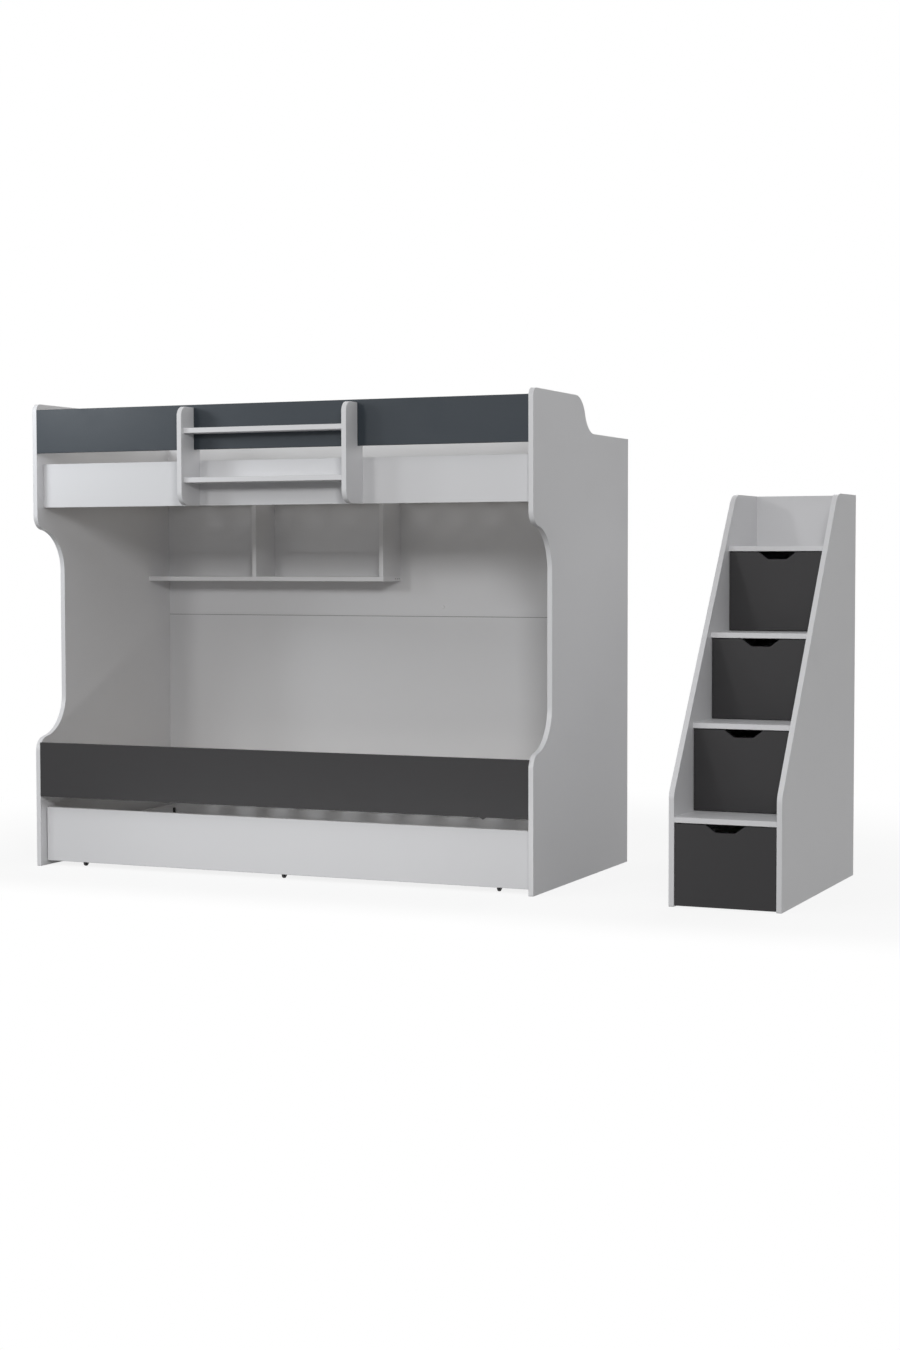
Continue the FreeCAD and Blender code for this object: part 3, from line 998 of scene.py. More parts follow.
class HeadRecipe(Recipe):
    """Heads of screws, cams, nails or caps, on seats: vertices that know the way they face."""

    ROUND_SIDES = 20
    SKIRT = 0.4 * MM                    # how far a head reaches into its board
    TWIST_SEED = 7
    CROSS_REACH = 1.25                  # the cross's arms, over the top's radius
    CROSS_DEPTH = 0.55 * MM

    def __init__(self, name: str, crossed: bool) -> None:
        """Builds the tree.

        Args:
            name: the tree's name.
            crossed: whether a cross is sunk in each head for the screwdriver.
        """
        super().__init__(name)
        radius = self.size("Radius")
        height = self.size("Height")
        rim = self.size("Top radius")
        recess = self.size("Recess width")
        material = self.size("Material", "NodeSocketMaterial")
        body = self.node("GeometryNodeMeshCone", None, {
            "Vertices": self.ROUND_SIDES, "Radius Top": rim, "Radius Bottom": radius,
            "Depth": height})
        skirt = self.node("GeometryNodeMeshCylinder", None, {
            "Vertices": self.ROUND_SIDES, "Radius": radius, "Depth": self.SKIRT})
        lowered = self.node("GeometryNodeTransform", None, {
            "Geometry": skirt.outputs["Mesh"], "Translation": (0.0, 0.0, -self.SKIRT / 2.0)})
        head = self.node("GeometryNodeMeshBoolean", {"operation": "UNION"})
        self.tree.links.new(body.outputs["Mesh"], head.inputs[1])
        self.tree.links.new(lowered.outputs[0], head.inputs[1])
        shape = head.outputs[0]
        if crossed:
            shape = self._with_cross(shape, recess, rim, height)
        facing = self.node("GeometryNodeInputNamedAttribute", {"data_type": "FLOAT_VECTOR"},
                           {"Name": "facing"})
        turned_out = self.node("FunctionNodeAlignRotationToVector", {"axis": "Z"},
                               {"Vector": facing.outputs[0]})
        spin = self.node("FunctionNodeRandomValue", {"data_type": "FLOAT"},
                         {2: 0.0, 3: 2.0 * math.pi, "Seed": self.TWIST_SEED})
        twist = self.node("FunctionNodeAxisAngleToRotation", None,
                          {"Axis": (0.0, 0.0, 1.0), "Angle": spin.outputs[1]})
        final = self.node("FunctionNodeRotateRotation", {"rotation_space": "LOCAL"},
                          {0: turned_out.outputs[0], 1: twist.outputs[0]})
        placed = self.node("GeometryNodeInstanceOnPoints", None, {
            "Points": self.geometry(), "Instance": shape, "Rotation": final.outputs[0]})
        self.close(placed.outputs[0], material)

    def _with_cross(self, shape: bpy.types.NodeSocket, width: bpy.types.NodeSocket,
                    rim: bpy.types.NodeSocket,
                    height: bpy.types.NodeSocket) -> bpy.types.NodeSocket:
        """Sinks a cross in a head.

        Args:
            shape: the head.
            width: the width of the cross's arms.
            rim: the radius of the head's top.
            height: the head's height.

        Returns:
            The head with its cross.
        """
        reach = self.scaled(rim, self.CROSS_REACH)
        depth = self.CROSS_DEPTH
        cut = self.node("GeometryNodeMeshBoolean", {"operation": "DIFFERENCE"}, {0: shape})
        for across, along in ((reach, width), (width, reach)):
            size = self.node("ShaderNodeCombineXYZ", None, {0: across, 1: along, 2: 2.0 * depth})
            cube = self.node("GeometryNodeMeshCube", None, {"Size": size.outputs[0]})
            lift = self.node("ShaderNodeCombineXYZ", None,
                             {2: self.scaled(height, 1.0, depth / 2.0)})
            moved = self.node("GeometryNodeTransform", None, {
                "Geometry": cube.outputs["Mesh"], "Translation": lift.outputs[0]})
            self.tree.links.new(moved.outputs[0], cut.inputs[1])
        return cut.outputs[0]


class SlatRecipe(Recipe):
    """A row of planed slats with rounded edges, each with its own grain."""

    ROUND_STEPS = 4
    LENGTH_POINTS = 9
    GRAIN_SEED = 11

    def __init__(self) -> None:
        """Builds the tree."""
        super().__init__("slat_row")
        count = self.size("Count", "NodeSocketInt")
        pitch = self.size("Pitch")
        width = self.size("Width")
        thickness = self.size("Thickness")
        length = self.size("Length")
        rounding = self.size("Rounding")
        start = self.size("Start", "NodeSocketVector")
        material = self.size("Material", "NodeSocketMaterial")
        section = self.node("GeometryNodeCurvePrimitiveQuadrilateral", {"mode": "RECTANGLE"},
                            {"Width": width, "Height": thickness})
        eased = self.node("GeometryNodeFilletCurve", {"mode": "POLY"},
                          {"Curve": section.outputs[0],
                           "Radius": rounding, "Count": self.ROUND_STEPS})
        reach = self.node("ShaderNodeCombineXYZ", None, {2: length})
        run = self.node("GeometryNodeCurvePrimitiveLine", None, {"End": reach.outputs[0]})
        parts = self.node("GeometryNodeResampleCurve", None,
                          {"Curve": run.outputs[0], "Count": self.LENGTH_POINTS})
        bar = self.node("GeometryNodeCurveToMesh", None, {
            "Curve": parts.outputs[0], "Profile Curve": eased.outputs[0], "Fill Caps": True})
        laid = self.node("GeometryNodeTransform", None, {
            "Geometry": bar.outputs[0], "Rotation": (-math.pi / 2.0, 0.0, 0.0)})
        place = self.node("GeometryNodeInputPosition")
        grain = self.node("GeometryNodeStoreNamedAttribute",
                          {"data_type": "FLOAT_VECTOR", "domain": "POINT"},
                          {"Geometry": laid.outputs[0], "Name": "grain",
                           "Value": place.outputs[0]})
        step = self.node("ShaderNodeCombineXYZ", None, {0: pitch})
        row = self.node("GeometryNodeMeshLine", {"mode": "OFFSET"}, {
            "Count": count, "Start Location": start, "Offset": step.outputs[0]})
        placed = self.node("GeometryNodeInstanceOnPoints", None, {
            "Points": row.outputs[0], "Instance": grain.outputs[0]})
        draw = self.node("FunctionNodeRandomValue", {"data_type": "FLOAT"},
                         {2: 0.0, 3: 1.0, "Seed": self.GRAIN_SEED})
        marked = self.node("GeometryNodeStoreNamedAttribute",
                           {"data_type": "FLOAT", "domain": "INSTANCE"},
                           {"Geometry": placed.outputs[0], "Name": "plank",
                            "Value": draw.outputs[1]})
        self.close(marked.outputs[0], material)


class RibRecipe(Recipe):
    """Ribs between a wheel's hub and its rim, added to the turned wheel."""

    def __init__(self) -> None:
        """Builds the tree."""
        super().__init__("wheel_ribs")
        centre = self.size("Centre", "NodeSocketVector")
        count = self.size("Count", "NodeSocketInt")
        middle = self.size("Middle radius")
        size = self.size("Rib size", "NodeSocketVector")
        material = self.size("Material", "NodeSocketMaterial")
        ring = self.node("GeometryNodeMeshCircle", None, {"Vertices": count, "Radius": middle})
        stood = self.node("GeometryNodeTransform", None, {
            "Geometry": ring.outputs[0], "Rotation": (0.0, math.pi / 2.0, 0.0)})
        place = self.node("GeometryNodeInputPosition")
        outward = self.node("FunctionNodeAlignRotationToVector", {"axis": "Z"},
                            {"Vector": place.outputs[0]})
        rib = self.node("GeometryNodeMeshCube", None, {"Size": size})
        placed = self.node("GeometryNodeInstanceOnPoints", None, {
            "Points": stood.outputs[0], "Instance": rib.outputs[0],
            "Rotation": outward.outputs[0]})
        moved = self.node("GeometryNodeTransform", None,
                          {"Geometry": placed.outputs[0], "Translation": centre})
        both = self.node("GeometryNodeJoinGeometry")
        self.tree.links.new(moved.outputs[0], both.inputs[0])
        self.tree.links.new(self.geometry(), both.inputs[0])
        self.close(both.outputs[0], material)


# ---------------------------------------------------------------- small fittings
@dataclass(frozen=True)
class HeadSize:
    """The visible head of a kind of fitting."""

    radius: float
    height: float
    top: float
    recess: float
    finish: Finish


class Fitting(Enum):
    """The kinds of small fittings that hold the boards together."""

    CAM = HeadSize(7.5 * MM, 0.25 * MM, 7.2 * MM, 1.6 * MM, ZINC)
    WOOD_SCREW = HeadSize(3.9 * MM, 0.35 * MM, 3.3 * MM, 0.9 * MM, ZINC)
    NAIL = HeadSize(1.7 * MM, 0.45 * MM, 1.3 * MM, 0.0, ZINC)
    RIVET = HeadSize(3.6 * MM, 0.9 * MM, 2.4 * MM, 0.0, BLACK_STEEL)
    CAP = HeadSize(6.5 * MM, 1.6 * MM, 4.9 * MM, 0.0, WHITE_PLASTIC)
    # a thin disc standing in for a peg hole, its dark colour painted shade
    PEG_HOLE_SHADE = HeadSize(2.4 * MM, 0.10 * MM, 2.3 * MM, 0.0, HOLE_SHADE_FINISH)


@dataclass(frozen=True)
class Seat:
    """A place where a fitting shows: the point on the board and the way it faces."""

    point: tuple[float, float, float]
    facing: tuple[float, float, float]


def seats(points: Iterable[tuple[float, float, float]], axis: Axis, sign: float) -> list[Seat]:
    """Seats that all face one way.

    Args:
        points: where they are.
        axis: the direction that they face along.
        sign: 1 to face along it, -1 to face against it.

    Returns:
        The seats.
    """
    facing = tuple(axis.vector * sign)
    return [Seat(tuple(point), facing) for point in points]


def spread(low: float, high: float, count: int, margin: float) -> list[float]:
    """Evenly spread places.

    Args:
        low: where the span begins.
        high: where it ends.
        count: how many places.
        margin: how far the outer ones stay inside the span.

    Returns:
        The places, in order.
    """
    if count == 1:
        return [(low + high) / 2.0]
    step = (high - low - 2.0 * margin) / (count - 1)
    return [low + margin + step * i for i in range(count)]


class FittingBox:
    """Hands out fittings: one mesh for each body and kind."""

    def __init__(self, room: FinishRoom) -> None:
        """Builds the two recipes.

        Args:
            room: where the finishes are made.
        """
        self.room = room
        self.crossed = HeadRecipe("crossed_heads", True)
        self.plain = HeadRecipe("plain_heads", False)

    def place(self, name: str, kind: Fitting, places: list[Seat], body: str) -> None:
        """Sets fittings on their seats.

        Args:
            name: the piece's name.
            kind: the kind of fitting.
            places: the seats.
            body: the body that they move with.
        """
        head: HeadSize = kind.value
        mesh = bpy.data.meshes.new(name)
        mesh.from_pydata([seat.point for seat in places], [], [])
        facing = mesh.attributes.new("facing", "FLOAT_VECTOR", "POINT")
        facing.data.foreach_set("vector", [v for seat in places for v in seat.facing])
        recipe = self.crossed if head.recess else self.plain
        piece = recipe.cook(new_piece(name, mesh), {
            "Radius": head.radius, "Height": head.height, "Top radius": head.top,
            "Recess width": head.recess, "Material": self.room.material(head.finish)})
        self.room.fit(piece, head.finish, body)


# ---------------------------------------------------------------- what the parts share
INNER_FACES = (("left", 1.0), ("right", -1.0))      # a side board, and how its inner face looks
DRAWERS = 4


def face(box: Box, axis: Axis, sign: float) -> float:
    """The place of the face of a box that looks along an axis, or against it with sign -1."""
    return box[1 if sign > 0.0 else 0][axis.value]


def centred(box: Box, axis: Axis) -> float:
    """The place halfway through a box along an axis."""
    return (box[0][axis.value] + box[1][axis.value]) / 2.0


@dataclass
class Section:
    """A part of the set, with what it takes its finishes and its fittings from."""

    room: FinishRoom
    box: FittingBox

    def recut(self, node: str, outline: Callable[[Box], list[Corner]], wide: Axis,
              finish: Finish, body: str) -> None:
        """Cuts a packed board again, with fine arcs and rounded rims.

        Args:
            node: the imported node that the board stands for.
            outline: gives the outline's corners from the node's box.
            wide: the way the wide faces look.
            finish: the board's finish.
            body: the body that it moves with.
        """
        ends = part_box(node)
        board = cut_board(node + "_cut", outline(ends), wide,
                          face(ends, wide, -1.0), face(ends, wide, 1.0))
        self.room.fit(board, finish, body, [node])


# ---------------------------------------------------------------- the bed
BED_CAMS = {                            # heights of each board's cams, as shares of its own
    "guard_board": (0.22, 0.78),
    "upper_front_rail": (0.11, 0.80),
    "lower_front_rail": (0.09, 0.83),
    "back_board_upper": (0.08, 0.50, 0.92),
    "back_board_lower": (0.06, 0.50, 0.94),
}


@dataclass
class BedFrame(Section):
    """The end panels, front boards and back boards of the bunk bed."""

    inset: float = 173.0 * MM           # how far the end panels' waist stands back
    slope: float = 9.0                  # slope between the two bends of an S-curve, degrees
    waist_start: float = 31.0 * MM      # lower S-curve's start, under the lower rail's top
    waist_drop: float = 29.0 * MM       # upper S-curve's start, under the upper rail
    waist_flat: float = 2.6 * MM        # straight stretch between the two bends
    knee: float = 52.0 * MM             # radius of the bend at the front
    brow: float = 28.0 * MM             # radius of the top front corner
    crest_start: float = 468.0 * MM     # where the top edge begins to fall, from the front
    crest_run: float = 50.0 * MM        # the depth over which it falls
    crest_flat: float = 2.4 * MM        # straight stretch between its bends
    foot: float = 3.0 * MM              # radius of the other corners
    cam_inset: float = 34.0 * MM        # cams from a board's end
    cap_along: float = 1220.0 * MM      # cover cap from the left end panel
    cap_up: float = 36.5 * MM           # and from the upper back board's lower edge
    strip_setback: float = 1.2 * MM     # the back's joint strip behind the boards' faces
    strip_easing: float = 0.1 * MM

    def end_corners(self, ends: Box) -> list[Corner]:
        """The outline of an end panel: S-curves to the waist, and the long fall of the top.

        Args:
            ends: the panel's box.

        Returns:
            The outline's corners, in Y and Z.
        """
        low, high = ends
        rear_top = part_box("back_board_upper")[1].z
        tilt = math.radians(self.slope)
        half_bend = math.tan((math.pi / 2.0 - tilt) / 2.0)
        reach = self.knee * half_bend
        sweep = (self.inset / math.cos(tilt) - self.waist_flat) / half_bend - self.knee
        waist_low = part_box("lower_front_rail")[1].z - self.waist_start + reach
        waist_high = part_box("upper_front_rail")[0].z - self.waist_drop - reach
        rise = self.inset * math.tan(tilt)
        drop = high.z - rear_top
        fall = math.hypot(drop, self.crest_run) - self.crest_flat
        crest = fall / 2.0 / math.tan(math.atan2(drop, self.crest_run) / 2.0)
        front = low.y
        return [
            Corner(front, 0.0, self.foot),
            Corner(front, waist_low, self.knee),
            Corner(front + self.inset, waist_low + rise, sweep),
            Corner(front + self.inset, waist_high - rise, sweep),
            Corner(front, waist_high, self.knee),
            Corner(front, high.z, self.brow),
            Corner(front + self.crest_start, high.z, crest),
            Corner(front + self.crest_start + self.crest_run, rear_top, crest),
            Corner(high.y, rear_top, self.foot),
            Corner(high.y, 0.0, self.foot),
        ]

    def build(self) -> None:
        """Cuts the end panels, dresses the boards and sets their fittings."""
        for side, _ in INNER_FACES:
            self.recut("end_panel_" + side, self.end_corners, Axis.ALONG,
                       white_board(Axis.ALONG), "bed")
        # the guard wears the anthracite with painted bluish light and reflection
        self.room.dress_node("guard_board", BLUE_LIT_CHARCOAL)
        self.room.dress_node("lower_front_rail", CHARCOAL)
        self.room.dress_nodes(("upper_front_rail", "back_board_upper", "back_board_lower"),
                              white_board(Axis.DEEP))
        self._set_cams()
        self._set_cover_cap()
        self._add_joint_shadow_strip()

    def _set_cams(self) -> None:
        """Sets the cams in the hidden faces of the long boards, by the end panels."""
        points: list[tuple[float, float, float]] = []
        for node, heights in BED_CAMS.items():
            low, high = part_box(node)
            for x in (low.x + self.cam_inset, high.x - self.cam_inset):
                points += [(x, high.y, low.z + (high.z - low.z) * share) for share in heights]
        self.box.place("bed_cams", Fitting.CAM, seats(points, Axis.DEEP, 1.0), "bed")

    def _set_cover_cap(self) -> None:
        """Sets the one cover cap that shows on the upper back board."""
        low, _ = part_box("back_board_upper")
        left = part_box("end_panel_left")[0].x
        point = (left + self.cap_along, low.y, low.z + self.cap_up)
        self.box.place("back_cover_cap", Fitting.CAP, seats([point], Axis.DEEP, -1.0), "bed")

    def _add_joint_shadow_strip(self) -> None:
        """Adds the thin black strip that lies in the joint between the two back boards; its black
        is painted shade for the joint's shadow line.
        """
        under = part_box("back_board_lower")
        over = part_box("back_board_upper")
        corners = rectangle(over[0].y + self.strip_setback, over[1].y - self.strip_setback,
                            under[1].z, over[0].z)
        strip = cut_board("back_joint_shadow_strip", corners, Axis.ALONG, over[0].x, over[1].x,
                          self.strip_easing)
        # black plastic like a joining strip, its black also painted shade for the joint's shadow
        # line
        self.room.fit(strip, BLACK_PLASTIC, "bed")


@dataclass
class Rack(Section):
    """The small rack on the guard: two posts and two shelves."""

    top_radius: float = 35.0 * MM
    bottom_radius: float = 45.0 * MM
    screw_inset: float = 40.0 * MM      # screws from the guard's edges and the rail's top
    cam_inset: float = 24.0 * MM        # cams from a shelf's end

    def post_corners(self, post: Box) -> list[Corner]:
        """The outline of a post, with its notch for the guard.

        Args:
            post: the post's box.

        Returns:
            The outline's corners, in Y and Z.
        """
        low, high = post
        guard_low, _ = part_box("guard_board")
        return [
            Corner(low.y, low.z, self.bottom_radius),
            Corner(low.y, high.z, self.top_radius),
            Corner(guard_low.y, high.z),
            Corner(guard_low.y, guard_low.z),
            Corner(high.y, guard_low.z),
            Corner(high.y, low.z),
        ]

    def build(self) -> None:
        """Cuts the posts, dresses the shelves and sets their fittings."""
        guard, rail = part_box("guard_board"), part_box("upper_front_rail")
        screws = []
        for side, _ in INNER_FACES:
            node = "rack_post_" + side
            self.recut(node, self.post_corners, Axis.ALONG, white_board(Axis.ALONG), "bed")
            x = centred(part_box(node), Axis.ALONG)
            screws += [(x, guard[1].y, z)
                       for z in spread(guard[0].z, guard[1].z, 2, self.screw_inset)]
            screws.append((x, rail[1].y, rail[1].z - self.screw_inset))
        shelves = ("rack_shelf_upper", "rack_shelf_lower")
        self.room.dress_nodes(shelves, white_board(Axis.UP))
        self.box.place("rack_post_screws", Fitting.WOOD_SCREW,
                       seats(screws, Axis.DEEP, 1.0), "bed")
        cams = []
        for node in shelves:
            low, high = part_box(node)
            cams += [(x, (low.y + high.y) / 2.0, low.z)
                     for x in spread(low.x, high.x, 2, self.cam_inset)]
        self.box.place("rack_cams", Fitting.CAM, seats(cams, Axis.UP, -1.0), "bed")


@dataclass
class WallShelf(Section):
    """The shelf on the back board with its two dividers."""

    shelf_screws: int = 5
    divider_screws: int = 2
    shelf_margin: float = 60.0 * MM     # outer screws from the shelf's ends
    divider_margin: float = 50.0 * MM   # and from a divider's ends
    peg_places: tuple[float, ...] = (14.0 * MM, 31.0 * MM, 48.0 * MM)   # from the shelf's rear

    def build(self) -> None:
        """Dresses the shelf and its dividers and sets their fittings."""
        dividers = ("wall_divider_left", "wall_divider_right")
        self.room.dress_node("wall_shelf", white_board(Axis.UP))
        self.room.dress_nodes(dividers, white_board(Axis.ALONG))
        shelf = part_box("wall_shelf")
        low, high = shelf
        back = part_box("back_board_upper")[1].y
        middle = centred(shelf, Axis.UP)
        screws = [(x, back, middle)
                  for x in spread(low.x, high.x, self.shelf_screws, self.shelf_margin)]
        for node in dividers:
            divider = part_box(node)
            heights = spread(divider[0].z, divider[1].z, self.divider_screws,
                             self.divider_margin)
            screws += [(centred(divider, Axis.ALONG), back, z) for z in heights]
        self.box.place("wall_shelf_screws", Fitting.WOOD_SCREW,
                       seats(screws, Axis.DEEP, 1.0), "bed")
        # flat discs on the shelf's end where the peg holes are, dark with painted shade
        pegs = [(high.x, high.y - place, middle) for place in self.peg_places]
        self.box.place("wall_shelf_peg_hole_shades", Fitting.PEG_HOLE_SHADE,
                       seats(pegs, Axis.ALONG, 1.0), "bed")


@dataclass
class SlatBase(Section):
    """One bunk's slats on their two bearers."""

    recipe: SlatRecipe
    level: str                          # upper or lower
    count: int = 14
    rounding: float = 3.0 * MM
    screw_inset: float = 14.0 * MM      # screws from a slat's end
    bearer_screws: int = 7
    bearer_margin: float = 70.0 * MM    # outer screws from a bearer's ends

    def build(self) -> None:
        """Lays the slats, dresses the bearers and sets the screws."""
        node = self.level + "_slats"
        low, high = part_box(node)
        side_gap = low.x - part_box("end_panel_left")[1].x
        pitch = (high.x - low.x + 2.0 * side_gap) / self.count
        width = pitch - 2.0 * side_gap
        finish = Softwood("pine_slats", "softwood", Axis.DEEP, by_plank=True)
        start = (low.x + width / 2.0, low.y, (low.z + high.z) / 2.0)
        seed = new_piece(node + "_laid", bpy.data.meshes.new(node))
        piece = self.recipe.cook(seed, {
            "Count": self.count, "Pitch": pitch, "Width": width, "Thickness": high.z - low.z,
            "Length": high.y - low.y, "Rounding": self.rounding, "Start": start,
            "Material": self.room.material(finish)})
        self.room.fit(piece, finish, "bed", [node])
        bearers = {row: f"{self.level}_bearer_{row}" for row in ("front", "rear")}
        self.room.dress_nodes(bearers.values(), Softwood("pine_along", "softwood", Axis.ALONG))
        heads = [(start[0] + pitch * i + side * width / 4.0, y, high.z)
                 for i in range(self.count) for side in (-1.0, 1.0)
                 for y in (low.y + self.screw_inset, high.y - self.screw_inset)]
        self.box.place(self.level + "_slat_screws", Fitting.WOOD_SCREW,
                       seats(heads, Axis.UP, 1.0), "bed")
        places = []
        for row, sign in (("front", 1.0), ("rear", -1.0)):
            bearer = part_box(bearers[row])
            points = [(x, face(bearer, Axis.DEEP, sign), centred(bearer, Axis.UP))
                      for x in spread(bearer[0].x, bearer[1].x, self.bearer_screws,
                                      self.bearer_margin)]
            places += seats(points, Axis.DEEP, sign)
        self.box.place(self.level + "_bearer_screws", Fitting.WOOD_SCREW, places, "bed")


# ---------------------------------------------------------------- the trundle
@dataclass
class Trundle(Section):
    """The pull-out box under the bed, with its casters' forks."""

    cam_inset: float = 34.0 * MM        # cams from a side's ends and from its lower edge
    cam_drop: float = 24.0 * MM         # and from its upper edge
    base_screws: int = 6
    base_margin: float = 60.0 * MM      # outer screws of the base from a side's ends
    rear_board: float = 18.0 * MM       # the rear board's thickness
    block_size: tuple[float, float, float] = (7.0 * MM, 10.0 * MM, 24.0 * MM)
    block_from_rear: float = 30.0 * MM  # the black block from the rear board
    block_drop: float = 10.0 * MM       # and from the side's upper edge
    block_radius: float = 1.5 * MM
    block_easing: float = 0.8 * MM
    stop_size: tuple[float, float, float] = (24.0 * MM, 12.0 * MM, 7.0 * MM)
    stop_place: float = 166.0 * MM      # the stop from the rail's right end
    stop_setback: float = 3.0 * MM      # and from its front
    stop_tip: float = 2.5 * MM
    stop_easing: float = 0.6 * MM
    sunk: float = 0.2 * MM              # how far block and stop reach into their boards

    def build(self) -> None:
        """Dresses the boards and forks and adds the small fittings."""
        self.room.dress_nodes(("trundle_front", "trundle_rear"), white_board(Axis.DEEP))
        self.room.dress_nodes(("trundle_side_left", "trundle_side_right"),
                              white_board(Axis.ALONG))
        self.room.dress_node("trundle_base", white_board(Axis.UP))
        self.room.dress_node("caster_forks", BLACK_STEEL)
        self._set_fittings()
        self._add_block()
        self._add_stop()

    def _set_fittings(self) -> None:
        """Sets the cams of the box and the screws of its base."""
        cams, screws = [], []
        level = centred(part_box("trundle_base"), Axis.UP)
        for side, inward in INNER_FACES:
            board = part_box("trundle_side_" + side)
            low, high = board
            cams += seats([(face(board, Axis.ALONG, inward), y, z)
                           for y in (low.y + self.cam_inset, high.y - self.cam_inset)
                           for z in (low.z + self.cam_inset, high.z - self.cam_drop)],
                          Axis.ALONG, inward)
            screws += seats([(face(board, Axis.ALONG, -inward), y, level)
                             for y in spread(low.y, high.y, self.base_screws,
                                             self.base_margin)], Axis.ALONG, -inward)
        self.box.place("trundle_cams", Fitting.CAM, cams, "trundle")
        self.box.place("trundle_base_screws", Fitting.WOOD_SCREW, screws, "trundle")

    def _add_block(self) -> None:
        """Adds the small black block on the left side's inner face, near the rear board."""
        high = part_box("trundle_side_left")[1]
        width, depth, height = self.block_size
        rear = high.y - self.rear_board - self.block_from_rear
        top = high.z - self.block_drop
        corners = rectangle(rear - depth, rear, top - height, top, self.block_radius)
        block = cut_board("trundle_block", corners, Axis.ALONG, high.x - self.sunk,
                          high.x + width, self.block_easing)
        self.room.fit(block, BLACK_PLASTIC, "trundle")

    def _add_stop(self) -> None:
        """Adds the small pointed stop that hangs under the lower front rail."""
        low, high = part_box("lower_front_rail")
        width, depth, drop = self.stop_size
        middle = high.x - self.stop_place
        front = low.y + self.stop_setback
        corners = [Corner(middle - width / 2.0, low.z + self.sunk),
                   Corner(middle + width / 2.0, low.z + self.sunk),
                   Corner(middle, low.z - drop, self.stop_tip)]
        stop = cut_board("trundle_stop", corners, Axis.DEEP, front, front + depth,
                         self.stop_easing)
        self.room.fit(stop, BLACK_PLASTIC, "bed")


@dataclass
class CasterWheels(Section):
    """The six small wheels under the trundle, and the ends of their axles."""

    bore: float = 2.55 * MM
    bore_bevel: float = 0.25 * MM
    hub: float = 5.2 * MM
    hub_draft: float = 0.5 * MM         # how far the hub widens towards the web
    rim: float = 9.6 * MM
    rim_draft: float = 0.4 * MM         # how far the rim thickens towards the web
    bevel: float = 0.3 * MM             # bevel of the hub and the rim
    web: float = 1.7 * MM               # half the web's thickness
    shoulder: float = 1.4 * MM          # rounding of the tread's edges
    shoulder_steps: int = 4
    crown: float = 0.12 * MM            # the tread's middle over its edges
    ribs: int = 7
    rib_thickness: float = 1.1 * MM
    rib_setback: float = 0.9 * MM       # ribs behind the hub's faces
    rib_overlap: float = 0.8 * MM       # and into hub and rim, both together
    fork_reach: float = 2.4 * MM        # the forks' outer faces beyond the wheel

    def profile(self, radius: float, half: float) -> list[tuple[float, float]]:
        """The closed section of a wheel, half of it mirrored.

        Args:
            radius: the wheel's radius.
            half: half the wheel's width.

        Returns:
            The section's points: place along the axle and radius.
        """
        rim_face = half - self.bevel
        side = [(half, self.bore + self.bore_bevel), (half, self.hub - self.bevel),
                (half - self.bevel, self.hub), (self.web, self.hub + self.hub_draft),
                (self.web, self.rim - self.rim_draft), (rim_face - self.bevel, self.rim),
                (rim_face, self.rim + self.bevel)]
        for k in range(self.shoulder_steps + 1):
            angle = math.pi / 2.0 * k / self.shoulder_steps
            side.append((rim_face - self.shoulder * (1.0 - math.cos(angle)),
                         radius - self.crown - self.shoulder * (1.0 - math.sin(angle))))
        side.append((0.0, radius))
        mirrored = [(-along, far) for along, far in reversed(side[:-1])]
        bore_edge = half - self.bore_bevel
        return [(bore_edge, self.bore)] + side + mirrored + [(-bore_edge, self.bore)]

    def build(self) -> None:
        """Turns the six wheels and rivets their axles."""
        recipe = RibRecipe()
        rivets: list[Seat] = []
        for node in (f"wheel_{row}_{place}" for row in ("front", "rear")
                     for place in ("left", "middle", "right")):
            low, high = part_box(node)
            centre = (low + high) / 2.0
            half = (high.x - low.x) / 2.0
            profile = self.profile((high.z - low.z) / 2.0, half)
            wheel = turned(node + "_turned", profile, centre, Axis.ALONG)
            rib_size = (2.0 * (half - self.rib_setback), self.rib_thickness,
                        self.rim - self.hub + self.rib_overlap)
            recipe.cook(wheel, {
                "Centre": tuple(centre), "Count": self.ribs,
                "Middle radius": (self.rim + self.hub) / 2.0, "Rib size": rib_size,
                "Material": self.room.material(BLACK_NYLON)})
            self.room.fit(wheel, BLACK_NYLON, node, [node])
            for sign in (-1.0, 1.0):
                point = (centre.x + sign * (half + self.fork_reach), centre.y, centre.z)
                rivets += seats([point], Axis.ALONG, sign)
        self.box.place("axle_rivets", Fitting.RIVET, rivets, "trundle")


